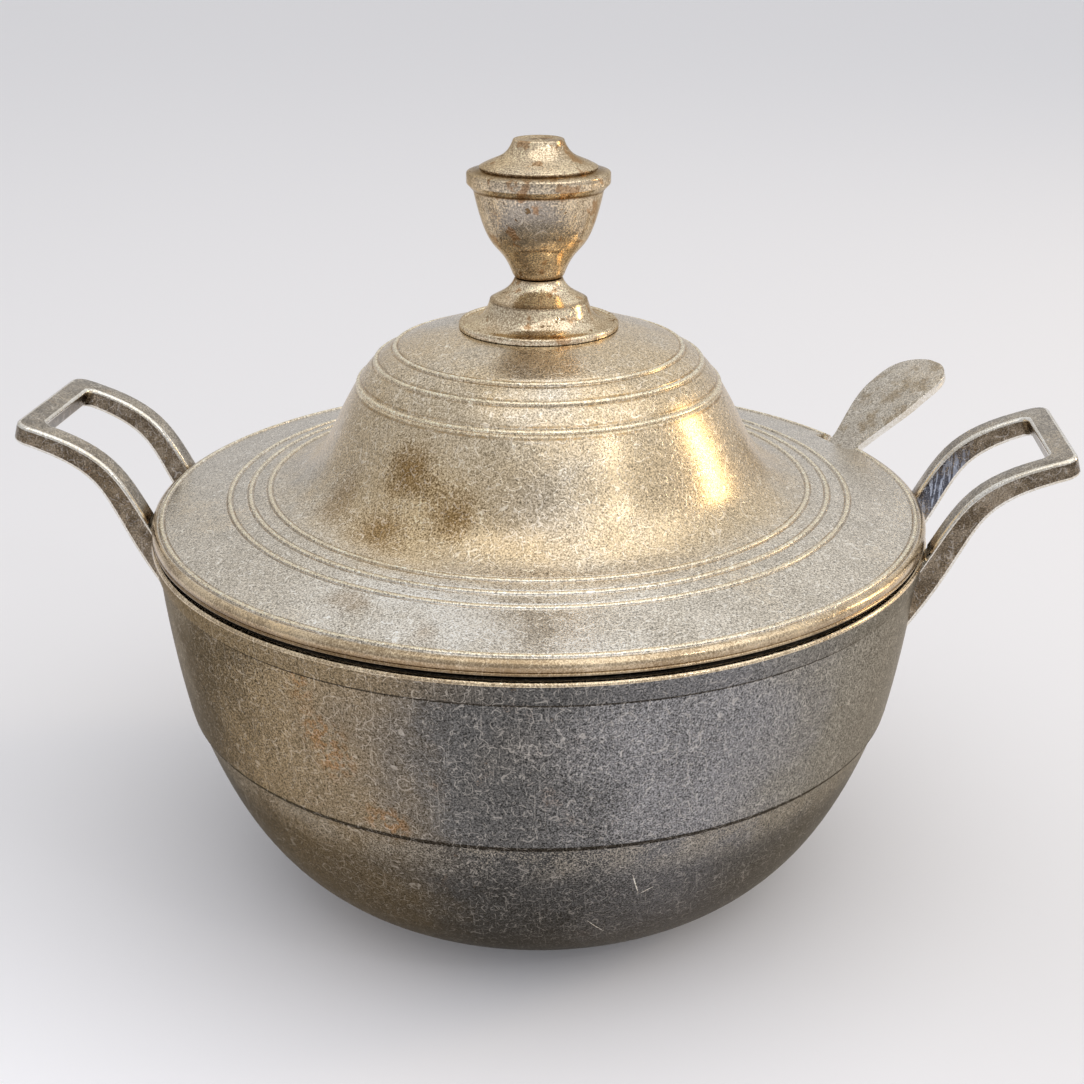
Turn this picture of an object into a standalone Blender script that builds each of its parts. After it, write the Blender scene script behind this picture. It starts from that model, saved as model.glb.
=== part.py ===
"""Pewter soup tureen: a lidded bowl with two loop handles, a knob on the lid and a ladle.

Units are metres and +Z is up. The table is z = 0, +X points at the right handle and the front faces -Y.
Outlines of turned pieces are lists of (radius, height) points.
"""

import math

import bmesh
import bpy
from mathutils import Matrix, Vector

MM = 0.001

# Fits
GAP = 0.3 * MM  # between pieces that touch
COLLAR_PLAY = 0.8 * MM  # between the lid's collar and the mouth
NOTCH_PLAY = 2.0 * MM  # beside the ladle where it passes the lid's edge

# Bowl
BASE_RADIUS = 45.0 * MM  # flat underside
CUP_BASE_PULL = 43.0 * MM  # how long the cup's curve keeps to the table
CUP_SIDE_PULL = 40.0 * MM  # how long it keeps to the slope at the seam
SEAM_RADIUS = 116.0 * MM
SEAM_HEIGHT = 69.0 * MM
SEAM_SLOPE = math.radians(74.0)
SEAM_STEP = 1.0 * MM  # the wall stands proud of the cup
SEAM_LAP = 6.0 * MM  # the cup's lip inside the wall
LIP_THICKNESS = 1.4 * MM
BOWL_THICKNESS = 2.4 * MM
WALL_BOW = 0.8 * MM  # swell of the upper wall
RIM_RADIUS = 125.0 * MM
RIM_HEIGHT = 125.0 * MM
RIM_ROUND = 1.2 * MM
BAND_HEIGHT = 7.1 * MM
BAND_TAPER = 1.0 * MM
BAND_STEP = 0.8 * MM  # the band stands proud of the wall
BAND_SKIRT = 6.0 * MM  # the band's skirt inside the wall
SKIRT_THICKNESS = 1.4 * MM

# Handles
HANDLE_REACH = 40.6 * MM  # beyond the rim
HANDLE_RISE = 30.6 * MM  # of the end bar's middle above the rim
HANDLE_SINK = 11.0 * MM  # where the bar's axis starts inside the rim's radius
HANDLE_DROP = 23.0 * MM  # and below the rim
HANDLE_ROOT_SLOPE = math.radians(55.0)
HANDLE_END_SLOPE = math.radians(16.0)
HANDLE_ROOT_PULL = 42.0 * MM
HANDLE_END_PULL = 40.0 * MM
HANDLE_ROOT_THICKNESS = 9.2 * MM
HANDLE_END_THICKNESS = 6.4 * MM
HANDLE_WIDTH = 55.0 * MM
ARM_WIDTH = 8.0 * MM
END_BAR_WIDTH = 7.0 * MM
HANDLE_OUTER_CORNER = 5.0 * MM
HANDLE_INNER_CORNER = 3.0 * MM
HANDLE_CHAMFER = 0.7 * MM

# Lid, with heights above the rim
LID_INSET = 0.5 * MM  # the lid's edge stays inside the rim's radius
LID_LIFT = 1.5 * MM  # open line under the lid's edge
LID_EDGE_TOP = 6.0 * MM
LID_EDGE_ROUND = 2.2 * MM
LID_EDGE_THICKNESS = 2.6 * MM
LID_THICKNESS = 2.2 * MM
FLANGE_SLOPE = math.radians(10.5)
DOME_ROOT_RADIUS = 86.4 * MM
DOME_ROOT_PULL = 16.0 * MM
DOME_WAIST_RADIUS = 61.0 * MM
DOME_WAIST_HEIGHT = 40.0 * MM
DOME_WAIST_SLOPE = math.radians(60.0)
DOME_FLARE_PULL = 16.0 * MM
DOME_SHOULDER_PULL = 12.0 * MM
DOME_TOP_PULL = 28.0 * MM
DOME_TOP_SLOPE = math.radians(9.0)
LID_TOP = 62.8 * MM
LID_SEAT_MARGIN = 1.2 * MM  # the knob's foot overhangs its flat seat
COLLAR_DEPTH = 9.0 * MM
COLLAR_THICKNESS = 2.2 * MM
NOTCH_DEPTH = 9.0 * MM
NOTCH_CORNER = 2.5 * MM

# Knob on the lid: a stepped foot under an urn, held by a stud, a washer and a nut
FOOT_FLANGE_RADIUS = 25.2 * MM
FOOT_FLANGE_THICKNESS = 1.6 * MM
FOOT_FLANGE_EDGE = 2.7 * MM  # flat margin of the flange
FOOT_TIER_RADIUS = 15.3 * MM
FOOT_TIER_HEIGHT = 8.4 * MM
FOOT_TOP_RADIUS = 7.6 * MM
FOOT_HEIGHT = 15.2 * MM
FOOT_FLARE_PULL = 4.8 * MM
FOOT_TIER_PULL = 3.3 * MM
FOOT_TOP_PULL = 4.0 * MM
FOOT_TIER_SLOPE = math.radians(106.0)
FOOT_TOP_SLOPE = math.radians(115.0)
URN_FOOT_RADIUS = 7.8 * MM
URN_BODY_HEIGHT = 26.9 * MM
URN_BODY_RADIUS = 20.1 * MM
URN_FOOT_SLOPE = math.radians(71.0)
URN_BODY_SLOPE = math.radians(78.0)
URN_FOOT_PULL = 13.5 * MM
URN_BODY_PULL = 22.9 * MM
URN_RIM_RADIUS = 22.1 * MM
URN_RIM_CHAMFER = 1.7 * MM
URN_RIM_HEIGHT = 3.7 * MM
URN_RIM_SLANT = 0.7 * MM
URN_CAP_RADIUS = 18.2 * MM
URN_CAP_STEP = 0.8 * MM
URN_CAP_HEIGHT = 8.2 * MM
URN_CAP_PULL = 6.0 * MM
URN_CAP_BASE_SLOPE = math.radians(150.0)
URN_CAP_TOP_SLOPE = math.radians(112.0)
URN_TOP_RADIUS = 7.9 * MM
URN_TOP_ROUND = 0.6 * MM
STUD_RADIUS = 3.0 * MM
STUD_GRIP = 18.0 * MM  # inside the urn
STUD_TAIL = 2.0 * MM  # below the nut
WASHER_RADIUS = 8.0 * MM
WASHER_THICKNESS = 1.2 * MM
NUT_FLATS = 10.0 * MM
NUT_HEIGHT = 5.0 * MM

# Ladle
LADLE_TURN = math.radians(32.0)  # from the right handle towards the back
LADLE_SLOPE = math.radians(26.0)  # where it lies on the rim
LADLE_TIP_SLOPE = math.radians(19.0)
LADLE_REACH = 36.0 * MM  # of its tip beyond the rim
LADLE_RISE = 30.0 * MM  # of its tip above the rim
LADLE_NECK_PULL = 8.6 * MM
LADLE_TIP_PULL = 25.0 * MM
LADLE_THICKNESS = 2.5 * MM
LADLE_TIP_WIDTH = 27.4 * MM
LADLE_NECK_WIDTH = 13.0 * MM  # where it lies on the rim
LADLE_PADDLE = 0.39  # share of its outer length that has the tip's width
LADLE_TANG_WIDTH = 10.0 * MM
LADLE_TIP_FLAT = 1.0 * MM  # blunt length at the very tip
LADLE_TANG = 8.0 * MM  # along the cup's side
LADLE_RIM_PULL = 30.0 * MM
LADLE_CUP_PULL = 35.0 * MM
LADLE_CUP_INSET = 3.0 * MM  # of its flat bottom inside the bowl's
LADLE_CUP_RADIUS = 36.0 * MM
LADLE_CUP_DEPTH = 30.0 * MM
LADLE_CUP_THICKNESS = 1.6 * MM
LADLE_CUP_FLAT = 6.0 * MM

# Fineness of the mesh
LARGE_STEPS = 64
SMALL_STEPS = 32
CURVE_POINTS = 7
SMALL_CURVE_POINTS = 5
ARC_POINTS = 3
WALL_POINTS = 6
HANDLE_POINTS = 14
LADLE_ROWS = 30

PEWTER = (0.36, 0.34, 0.29)
PEWTER_DARK = (0.27, 0.27, 0.24)
PEWTER_GOLD = (0.45, 0.38, 0.27)
STEEL = (0.50, 0.50, 0.50)


# Scene and materials


def clear_scene():
    for thing in list(bpy.data.objects):
        bpy.data.objects.remove(thing, do_unlink=True)


def new_collection(name, hidden=False):
    collection = bpy.data.collections.new(name)
    collection.hide_render = hidden
    bpy.context.scene.collection.children.link(collection)
    return collection


def finish(piece, colour, roughness, parent=None):
    """Gives a piece its own material and its parent."""
    material = bpy.data.materials.new(piece.name)
    material.use_nodes = True
    shader = material.node_tree.nodes["Principled BSDF"]
    shader.inputs["Base Color"].default_value = (*colour, 1.0)
    shader.inputs["Metallic"].default_value = 1.0
    shader.inputs["Roughness"].default_value = roughness
    piece.data.materials.append(material)
    piece.parent = parent
    return piece


def frame_at(name, location, turn=0.0):
    """An empty that carries the pieces of one moving body."""
    empty = bpy.data.objects.new(name, None)
    empty.location = location
    empty.rotation_euler.z = turn
    parts.objects.link(empty)
    return empty


def place(piece, collection):
    """Moves a freshly added object into a collection."""
    for owner in list(piece.users_collection):
        owner.objects.unlink(piece)
    collection.objects.link(piece)


def make_cutter(piece):
    piece.hide_render = True
    piece.display_type = "WIRE"
    place(piece, cutters)
    return piece


# Curves in the (radius, height) plane


def bezier(start, start_slope, start_pull, end, end_slope, end_pull, count):
    """Points of a curve that leaves start and reaches end at the given slopes, both seen along its run."""
    a = Vector(start)
    d = Vector(end)
    b = a + start_pull * Vector((math.cos(start_slope), math.sin(start_slope)))
    c = d - end_pull * Vector((math.cos(end_slope), math.sin(end_slope)))
    points = []
    for i in range(count):
        t = i / (count - 1)
        s = 1 - t
        points.append(s**3 * a + 3 * s * s * t * b + 3 * s * t * t * c + t**3 * d)
    return points


def arc(centre, radius, first, last, count=ARC_POINTS):
    """Points of an arc about centre, between two angles in degrees."""
    angles = [math.radians(first + (last - first) * i / (count - 1)) for i in range(count)]
    return [Vector((centre[0] + radius * math.cos(a), centre[1] + radius * math.sin(a))) for a in angles]


def inset(points, distance):
    """The run of points moved to its own left."""
    moved = []
    for i, point in enumerate(points):
        run = points[min(i + 1, len(points) - 1)] - points[max(i - 1, 0)]
        moved.append(point + distance * Vector((-run.y, run.x)).normalized())
    return moved


def spread(low, high, count):
    return [low + (high - low) * i / (count - 1) for i in range(count)]


# Solids


def turned(name, outline, steps, collection):
    """A solid of revolution. Its outline runs down the outer side, and closes itself off the axis."""
    mesh = bpy.data.meshes.new(name)
    count = len(outline)
    edges = [(i, i + 1) for i in range(count - 1)]
    if outline[0][0] > 0:
        edges.append((count - 1, 0))
    mesh.from_pydata([(r, 0, z) for r, z in outline], edges, [])
    piece = bpy.data.objects.new(name, mesh)
    collection.objects.link(piece)
    screw = piece.modifiers.new("Turn", "SCREW")
    screw.steps = steps
    screw.render_steps = steps
    screw.use_merge_vertices = True
    screw.merge_threshold = 0.00001
    screw.use_smooth_shade = True
    return piece


def plate(name, outlines, thickness, matrix):
    """A flat plate from closed outlines, the later ones holes, as a mesh with welded edges."""
    curve = bpy.data.curves.new(name, "CURVE")
    curve.dimensions = "2D"
    curve.fill_mode = "BOTH"
    curve.extrude = thickness / 2
    for outline in outlines:
        spline = curve.splines.new("POLY")
        spline.points.add(len(outline) - 1)
        for point, (x, y) in zip(spline.points, outline):
            point.co = (x, y, 0, 1)
        spline.use_cyclic_u = True
    guide = bpy.data.objects.new(name + "_guide", curve)
    bpy.context.scene.collection.objects.link(guide)
    guide.matrix_world = matrix
    bpy.context.view_layer.update()
    graph = bpy.context.evaluated_depsgraph_get()
    mesh = bpy.data.meshes.new_from_object(guide.evaluated_get(graph))
    bpy.data.objects.remove(guide, do_unlink=True)
    edit = bmesh.new()
    edit.from_mesh(mesh)
    bmesh.ops.remove_doubles(edit, verts=edit.verts, dist=0.00001)
    bmesh.ops.recalc_face_normals(edit, faces=edit.faces)
    edit.to_mesh(mesh)
    edit.free()
    piece = bpy.data.objects.new(name, mesh)
    piece.matrix_world = matrix
    return piece


def round_rectangle(low, high, corner):
    """The outline of a rectangle with rounded corners."""
    centres = (
        (high[0] - corner, high[1] - corner),
        (low[0] + corner, high[1] - corner),
        (low[0] + corner, low[1] + corner),
        (high[0] - corner, low[1] + corner),
    )
    outline = []
    for i, centre in enumerate(centres):
        outline += arc(centre, corner, 90 * i, 90 * i + 90)
    return outline


def cut(piece, cutter, operation="DIFFERENCE"):
    boolean = piece.modifiers.new(cutter.name, "BOOLEAN")
    boolean.operation = operation
    boolean.object = cutter


# Bowl


def wall_radius(height):
    """Outer radius of the upper wall."""
    low = SEAM_RADIUS + SEAM_STEP
    high = RIM_RADIUS - BAND_TAPER - BAND_STEP
    t = (height - SEAM_HEIGHT) / (BAND_FOOT - SEAM_HEIGHT)
    return low + (high - low) * t + 4 * WALL_BOW * t * (1 - t)


def wall_bore(height):
    """Radius of a piece that fits inside the upper wall."""
    return wall_radius(height) - BOWL_THICKNESS - GAP


def cup_curve():
    """Outside of the lower cup, from its flat underside up to the seam."""
    return bezier(
        (BASE_RADIUS, 0), 0, CUP_BASE_PULL, (SEAM_RADIUS, SEAM_HEIGHT), SEAM_SLOPE, CUP_SIDE_PULL, CURVE_POINTS
    )


def bowl_lower():
    outside = cup_curve()
    inside = inset(outside, BOWL_THICKNESS)[:-1]
    lip_top = SEAM_HEIGHT + SEAM_LAP
    lip = [(wall_bore(z), z) for z in (lip_top, SEAM_HEIGHT)]
    lip_inside = [(r - LIP_THICKNESS, z) for r, z in reversed(lip)]
    outline = [(0, BOWL_THICKNESS), *inside, *lip_inside, *lip, *reversed(outside), (0, 0)]
    return turned("bowl_lower", outline, LARGE_STEPS, parts)


def bowl_wall():
    heights = spread(BAND_FOOT - GAP, SEAM_HEIGHT + GAP, WALL_POINTS)
    outside = [(wall_radius(z), z) for z in heights]
    inside = [(r - BOWL_THICKNESS, z) for r, z in reversed(outside)]
    return turned("bowl_wall", outside + inside, LARGE_STEPS, parts)


def bowl_rim_band():
    outer_round = arc((RIM_RADIUS - RIM_ROUND, RIM_HEIGHT - RIM_ROUND), RIM_ROUND, 90, 0)
    inner_round = arc((MOUTH_RADIUS + RIM_ROUND, RIM_HEIGHT - RIM_ROUND), RIM_ROUND, 180, 90)
    outline = [
        *outer_round,
        (RIM_RADIUS - BAND_TAPER, BAND_FOOT),
        (wall_bore(BAND_FOOT), BAND_FOOT),
        (wall_bore(SKIRT_FOOT), SKIRT_FOOT),
        (MOUTH_RADIUS, SKIRT_FOOT),
        *inner_round,
    ]
    return turned("bowl_rim_band", outline, LARGE_STEPS, parts)


def bowl_clearance():
    """What the handles stay out of: the bowl with its gap, and the space the lid lifts through."""
    heights = spread(BAND_FOOT, SEAM_HEIGHT, WALL_POINTS)
    above = RIM_HEIGHT + LID_TOP
    outline = [
        (0, above),
        (RIM_RADIUS + GAP, above),
        (RIM_RADIUS + GAP, RIM_HEIGHT - RIM_ROUND),
        (RIM_RADIUS - BAND_TAPER + GAP, BAND_FOOT - GAP),
        *[(wall_radius(z) + GAP, z) for z in heights[1:]],
        (0, SEAM_HEIGHT),
    ]
    return make_cutter(turned("bowl_clearance", outline, LARGE_STEPS, cutters))


# Handles


def handle_side():
    """Side outline of the handle's bar, (x, z), from its root in the wall to its end bar."""
    root = (RIM_RADIUS - HANDLE_SINK, RIM_HEIGHT - HANDLE_DROP)
    end = (RIM_RADIUS + HANDLE_REACH, RIM_HEIGHT + HANDLE_RISE)
    axis = bezier(
        root, HANDLE_ROOT_SLOPE, HANDLE_ROOT_PULL, end, HANDLE_END_SLOPE, HANDLE_END_PULL, HANDLE_POINTS
    )
    halves = spread(HANDLE_ROOT_THICKNESS / 2, HANDLE_END_THICKNESS / 2, HANDLE_POINTS)
    upper = []
    lower = []
    for i, half in enumerate(halves):
        upper.append(inset(axis, half)[i])
        lower.append(inset(axis, -half)[i])
    return lower + upper[::-1]


def loop_handle(name, turn):
    """A cast loop: the curved bar seen from the side, cut to a frame seen from above."""
    around = Matrix.Rotation(turn, 4, "Z")
    upright = Matrix.Rotation(math.pi / 2, 4, "X")
    piece = plate(name, [handle_side()], HANDLE_WIDTH * 2, around @ upright)
    parts.objects.link(piece)
    far = RIM_RADIUS + HANDLE_REACH
    inner_half = HANDLE_WIDTH / 2 - ARM_WIDTH
    outer = round_rectangle((0, -HANDLE_WIDTH / 2), (far, HANDLE_WIDTH / 2), HANDLE_OUTER_CORNER)
    window = far - END_BAR_WIDTH
    inner = round_rectangle((BASE_RADIUS, -inner_half), (window, inner_half), HANDLE_INNER_CORNER)
    lift = Matrix.Translation((0, 0, RIM_HEIGHT))
    frame = make_cutter(plate(name + "_frame", [outer, inner], RIM_HEIGHT, around @ lift))
    cut(piece, frame, "INTERSECT")
    chamfer = piece.modifiers.new("Chamfer", "BEVEL")
    chamfer.width = HANDLE_CHAMFER
    chamfer.segments = 1
    chamfer.limit_method = "ANGLE"
    chamfer.angle_limit = math.radians(50)
    cut(piece, bpy.data.objects["bowl_clearance"])
    return piece


# Lid


def flange_top(radius):
    return LID_EDGE_TOP + (LID_RADIUS - LID_EDGE_ROUND - radius) * math.tan(FLANGE_SLOPE)


def flange_under(radius):
    return flange_top(radius) - LID_THICKNESS / math.cos(FLANGE_SLOPE)


def dome_curve():
    """Outside of the dome, from the flange's inner end up to the flat seat of the knob."""
    waist = (DOME_WAIST_RADIUS, DOME_WAIST_HEIGHT)
    up = math.pi - DOME_WAIST_SLOPE
    flare = bezier(
        (DOME_ROOT_RADIUS, flange_top(DOME_ROOT_RADIUS)), math.pi - FLANGE_SLOPE, DOME_ROOT_PULL,
        waist, up, DOME_FLARE_PULL, CURVE_POINTS,
    )
    shoulder = bezier(
        waist, up, DOME_SHOULDER_PULL,
        (LID_SEAT_RADIUS, LID_TOP), math.pi - DOME_TOP_SLOPE, DOME_TOP_PULL, CURVE_POINTS,
    )
    return flare + shoulder[1:]


def lid_shell():
    outside = dome_curve()
    under = inset(outside, LID_THICKNESS)
    under[-1].y = LID_TOP - LID_THICKNESS
    edge_inside = LID_RADIUS - LID_EDGE_THICKNESS
    lower_round = LID_EDGE_THICKNESS / 3
    outline = [
        (STUD_HOLE, LID_TOP),
        *reversed(outside),
        *arc((LID_RADIUS - LID_EDGE_ROUND, LID_EDGE_TOP - LID_EDGE_ROUND), LID_EDGE_ROUND, 90, 0),
        *arc((LID_RADIUS - lower_round, LID_LIFT + lower_round), lower_round, 0, -90),
        (edge_inside, LID_LIFT),
        (edge_inside, flange_under(edge_inside)),
        *under,
        (STUD_HOLE, LID_TOP - LID_THICKNESS),
    ]
    piece = turned("lid_shell", outline, LARGE_STEPS, parts)
    cut(piece, notch_cutter("lid_notch", NOTCH_DEPTH, NOTCH_CORNER))
    return piece


def lid_collar():
    shoulder = LID_RADIUS - LID_EDGE_THICKNESS - GAP
    outer = MOUTH_RADIUS - COLLAR_PLAY
    inner = outer - COLLAR_THICKNESS
    outline = [
        (shoulder, flange_under(shoulder) - GAP),
        (shoulder, GAP),
        (outer, GAP),
        (outer, -COLLAR_DEPTH),
        (inner, -COLLAR_DEPTH),
        (inner, flange_under(inner) - GAP),
    ]
    piece = turned("lid_collar", outline, LARGE_STEPS, parts)
    reach = LID_RADIUS - inner + COLLAR_THICKNESS
    cut(piece, notch_cutter("collar_notch", reach, COLLAR_THICKNESS / 4))
    return piece


def notch_cutter(name, depth, corner):
    """An upright block that opens the lid's edge for the ladle, as wide as the strip is inside that edge."""
    outside, inside = ladle_paths()
    beyond = [point for point in outside if point.x > LID_RADIUS]
    neck = path_length(outside)
    width = ladle_width(path_length(beyond), neck, neck + path_length(inside)) + 2 * NOTCH_PLAY
    outline = round_rectangle((LID_RADIUS - depth, -width / 2), (LID_RADIUS + depth, width / 2), corner)
    matrix = Matrix.Rotation(LADLE_TURN, 4, "Z") @ Matrix.Translation((0, 0, RIM_HEIGHT))
    return make_cutter(plate(name, [outline], 2 * LID_TOP, matrix))


# Knob


def finial_base():
    low = LID_TOP + GAP
    flange = low + FOOT_FLANGE_THICKNESS
    tier = (FOOT_TIER_RADIUS, low + FOOT_TIER_HEIGHT)
    flare = bezier(
        (FOOT_FLANGE_RADIUS - FOOT_FLANGE_EDGE, flange), math.pi, FOOT_FLARE_PULL,
        tier, FOOT_TIER_SLOPE, FOOT_TIER_PULL, SMALL_CURVE_POINTS,
    )
    shoulder = bezier(
        tier, FOOT_TIER_SLOPE, FOOT_TIER_PULL,
        (FOOT_TOP_RADIUS, low + FOOT_HEIGHT), FOOT_TOP_SLOPE, FOOT_TOP_PULL, SMALL_CURVE_POINTS,
    )
    outline = [
        (STUD_HOLE, low + FOOT_HEIGHT),
        *reversed(flare + shoulder[1:]),
        (FOOT_FLANGE_RADIUS, flange),
        (FOOT_FLANGE_RADIUS, low),
        (STUD_HOLE, low),
    ]
    return turned("finial_base", outline, SMALL_STEPS, parts)


def finial_urn():
    low = LID_TOP + GAP + FOOT_HEIGHT + GAP
    neck = low + URN_BODY_HEIGHT
    rim_low = neck + URN_RIM_CHAMFER
    rim_top = rim_low + URN_RIM_HEIGHT
    cap_foot = rim_top + URN_RIM_SLANT
    cap_low = cap_foot + URN_CAP_STEP
    top = cap_low + URN_CAP_HEIGHT
    body = bezier(
        (URN_FOOT_RADIUS, low), URN_FOOT_SLOPE, URN_FOOT_PULL,
        (URN_BODY_RADIUS, neck), URN_BODY_SLOPE, URN_BODY_PULL, CURVE_POINTS,
    )
    cap = bezier(
        (URN_CAP_RADIUS, cap_low), URN_CAP_BASE_SLOPE, URN_CAP_PULL,
        (URN_TOP_RADIUS, top - URN_TOP_ROUND), URN_CAP_TOP_SLOPE, URN_CAP_PULL, SMALL_CURVE_POINTS,
    )
    bore_top = low + STUD_GRIP + GAP
    outline = [
        (0, top),
        (URN_TOP_RADIUS - URN_TOP_ROUND, top),
        *reversed(cap),
        (URN_CAP_RADIUS, cap_foot),
        (URN_RIM_RADIUS, rim_top),
        (URN_RIM_RADIUS, rim_low),
        *reversed(body),
        (STUD_HOLE, low),
        (STUD_HOLE, bore_top),
        (0, bore_top),
    ]
    return turned("finial_urn", outline, SMALL_STEPS, parts)


def washer_top():
    return LID_TOP - LID_THICKNESS - GAP


def nut_top():
    return washer_top() - WASHER_THICKNESS - GAP


def finial_stud():
    top = LID_TOP + GAP + FOOT_HEIGHT + GAP + STUD_GRIP
    tail = nut_top() - NUT_HEIGHT - STUD_TAIL
    outline = [(0, top), (STUD_RADIUS, top), (STUD_RADIUS, tail), (0, tail)]
    return turned("finial_stud", outline, SMALL_STEPS, parts)


def finial_washer():
    top = washer_top()
    low = top - WASHER_THICKNESS
    outline = [(WASHER_RADIUS, top), (WASHER_RADIUS, low), (STUD_HOLE, low), (STUD_HOLE, top)]
    return turned("finial_washer", outline, SMALL_STEPS, parts)


def finial_nut():
    corner_radius = NUT_FLATS / 2 / math.cos(math.pi / 6)
    middle = nut_top() - NUT_HEIGHT / 2
    bpy.ops.mesh.primitive_cylinder_add(vertices=6, radius=corner_radius, depth=NUT_HEIGHT, location=(0, 0, middle))
    piece = bpy.context.object
    piece.name = "finial_nut"
    place(piece, parts)
    centre = (0, 0, RIM_HEIGHT + middle)
    bpy.ops.mesh.primitive_cylinder_add(vertices=SMALL_STEPS, radius=STUD_HOLE, depth=2 * NUT_HEIGHT, location=centre)
    bore = bpy.context.object
    bore.name = "nut_bore"
    cut(piece, make_cutter(bore))
    return piece


# Ladle, in its own upright plane: x runs away from the bowl's axis


def ladle_paths():
    """Middle line of the ladle's handle: from its tip to the rim, and from there down to the cup's side."""
    half = LADLE_THICKNESS / 2
    rest_radius = math.hypot(MOUTH_RADIUS, LADLE_NECK_WIDTH / 2)
    rest = Vector((2 * MOUTH_RADIUS - rest_radius, RIM_HEIGHT + GAP + half / math.cos(LADLE_SLOPE)))
    tip = Vector((RIM_RADIUS + LADLE_REACH, RIM_HEIGHT + LADLE_RISE))
    outside = bezier(
        tip, math.pi + LADLE_TIP_SLOPE, LADLE_TIP_PULL,
        rest, math.pi + LADLE_SLOPE, LADLE_NECK_PULL, LADLE_ROWS * 4,
    )
    tang = LADLE_CUP_OFFSET + LADLE_CUP_RADIUS + GAP + half
    cup_rim = BOWL_THICKNESS + GAP + LADLE_CUP_DEPTH
    inside = bezier(
        rest, math.pi + LADLE_SLOPE, LADLE_RIM_PULL,
        (tang, cup_rim), -math.pi / 2, LADLE_CUP_PULL, LADLE_ROWS * 4,
    )
    return outside, [*inside, Vector((tang, cup_rim - LADLE_TANG))]


def path_length(path):
    return sum((b - a).length for a, b in zip(path, path[1:]))


def along(path, distance):
    """The point at a distance along a path."""
    for first, second in zip(path, path[1:]):
        length = (second - first).length
        if distance <= length:
            return first.lerp(second, distance / length)
        distance -= length
    return path[-1]


def ease(start, end, t):
    t = min(max(t, 0), 1)
    return start + (end - start) * t * t * (3 - 2 * t)


def ladle_width(distance, neck, total):
    """Width at a distance from the tip. The neck lies on the rim and the total reaches the cup's side."""
    paddle = neck * LADLE_PADDLE
    width = ease(LADLE_TIP_WIDTH, LADLE_NECK_WIDTH, (distance - paddle) / (neck - paddle))
    return ease(width, LADLE_TANG_WIDTH, (distance - neck) / (total - neck))


def ladle_handle():
    """A flat strip, a round paddle at the tip and narrow at the cup."""
    outside, inside = ladle_paths()
    path = [*outside, *inside[1:]]
    neck = path_length(outside)
    total = path_length(path)
    bpy.ops.mesh.primitive_grid_add(x_subdivisions=LADLE_ROWS, y_subdivisions=2, size=1)
    piece = bpy.context.object
    piece.name = "ladle_handle"
    place(piece, parts)
    tip_radius = LADLE_TIP_WIDTH / 2
    for vertex in piece.data.vertices:
        distance = total * (1 - math.cos((vertex.co.x + 0.5) * math.pi / 2))
        width = ladle_width(distance, neck, total)
        from_centre = max(1 - (distance + LADLE_TIP_FLAT) / tip_radius, 0)
        width *= math.sqrt(1 - from_centre**2)
        point = along(path, distance)
        vertex.co = (point.x, vertex.co.y * width, point.y)
    sheet = piece.modifiers.new("Thickness", "SOLIDIFY")
    sheet.thickness = LADLE_THICKNESS
    sheet.offset = 0
    sheet.use_even_offset = True
    return piece


def ladle_cup():
    outside = bezier(
        (LADLE_CUP_FLAT, 0), 0, LADLE_CUP_RADIUS / 2,
        (LADLE_CUP_RADIUS, LADLE_CUP_DEPTH), math.pi / 2, LADLE_CUP_DEPTH / 2, CURVE_POINTS,
    )
    inside = inset(outside, LADLE_CUP_THICKNESS)
    outline = [(0, LADLE_CUP_THICKNESS), *inside, *reversed(outside), (0, 0)]
    piece = turned("ladle_cup", outline, SMALL_STEPS, parts)
    piece.location = (LADLE_CUP_OFFSET, 0, BOWL_THICKNESS + GAP)
    return piece


# Sizes that follow from the ones above

BAND_FOOT = RIM_HEIGHT - BAND_HEIGHT
SKIRT_FOOT = BAND_FOOT - BAND_SKIRT
MOUTH_RADIUS = wall_bore(SKIRT_FOOT) - SKIRT_THICKNESS
LID_RADIUS = RIM_RADIUS - LID_INSET
LID_SEAT_RADIUS = FOOT_FLANGE_RADIUS - LID_SEAT_MARGIN
STUD_HOLE = STUD_RADIUS + GAP
LADLE_CUP_OFFSET = BASE_RADIUS - LADLE_CUP_FLAT - LADLE_CUP_INSET

# Assembly

clear_scene()
parts = new_collection("soup_tureen")
cutters = new_collection("cutters", hidden=True)

finish(bowl_lower(), PEWTER_DARK, 0.42)
finish(bowl_wall(), PEWTER, 0.40)
finish(bowl_rim_band(), PEWTER_GOLD, 0.36)
bowl_clearance()
finish(loop_handle("handle_right", 0.0), PEWTER, 0.42)
finish(loop_handle("handle_left", math.pi), PEWTER, 0.42)

lid_frame = frame_at("lid_frame", (0, 0, RIM_HEIGHT))
finish(lid_shell(), PEWTER, 0.38, lid_frame)
finish(lid_collar(), PEWTER_DARK, 0.45, lid_frame)
finish(finial_base(), PEWTER_GOLD, 0.34, lid_frame)
finish(finial_urn(), PEWTER_GOLD, 0.34, lid_frame)
finish(finial_stud(), STEEL, 0.40, lid_frame)
finish(finial_washer(), STEEL, 0.40, lid_frame)
finish(finial_nut(), STEEL, 0.40, lid_frame)

ladle_frame = frame_at("ladle_frame", (0, 0, 0), LADLE_TURN)
finish(ladle_handle(), PEWTER, 0.40, ladle_frame)
finish(ladle_cup(), PEWTER, 0.42, ladle_frame)
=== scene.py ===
# %% [markdown]
# # A pewter soup tureen
# A turned bowl with two cast loop handles, a domed lid with an urn-shaped knob, and a ladle whose handle
# comes out through a notch in the lid. The imported model is the fixed frame. Most of its plain solids are
# replaced here by a finer mesh of the same size, with the raised lines, rolled edges and worn corners that
# the real one has; the stud, washer and nut stay. All of them get finishes made from nodes alone.

# %% Open the frame
import math

import bpy
from mathutils import Matrix, Vector


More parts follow.
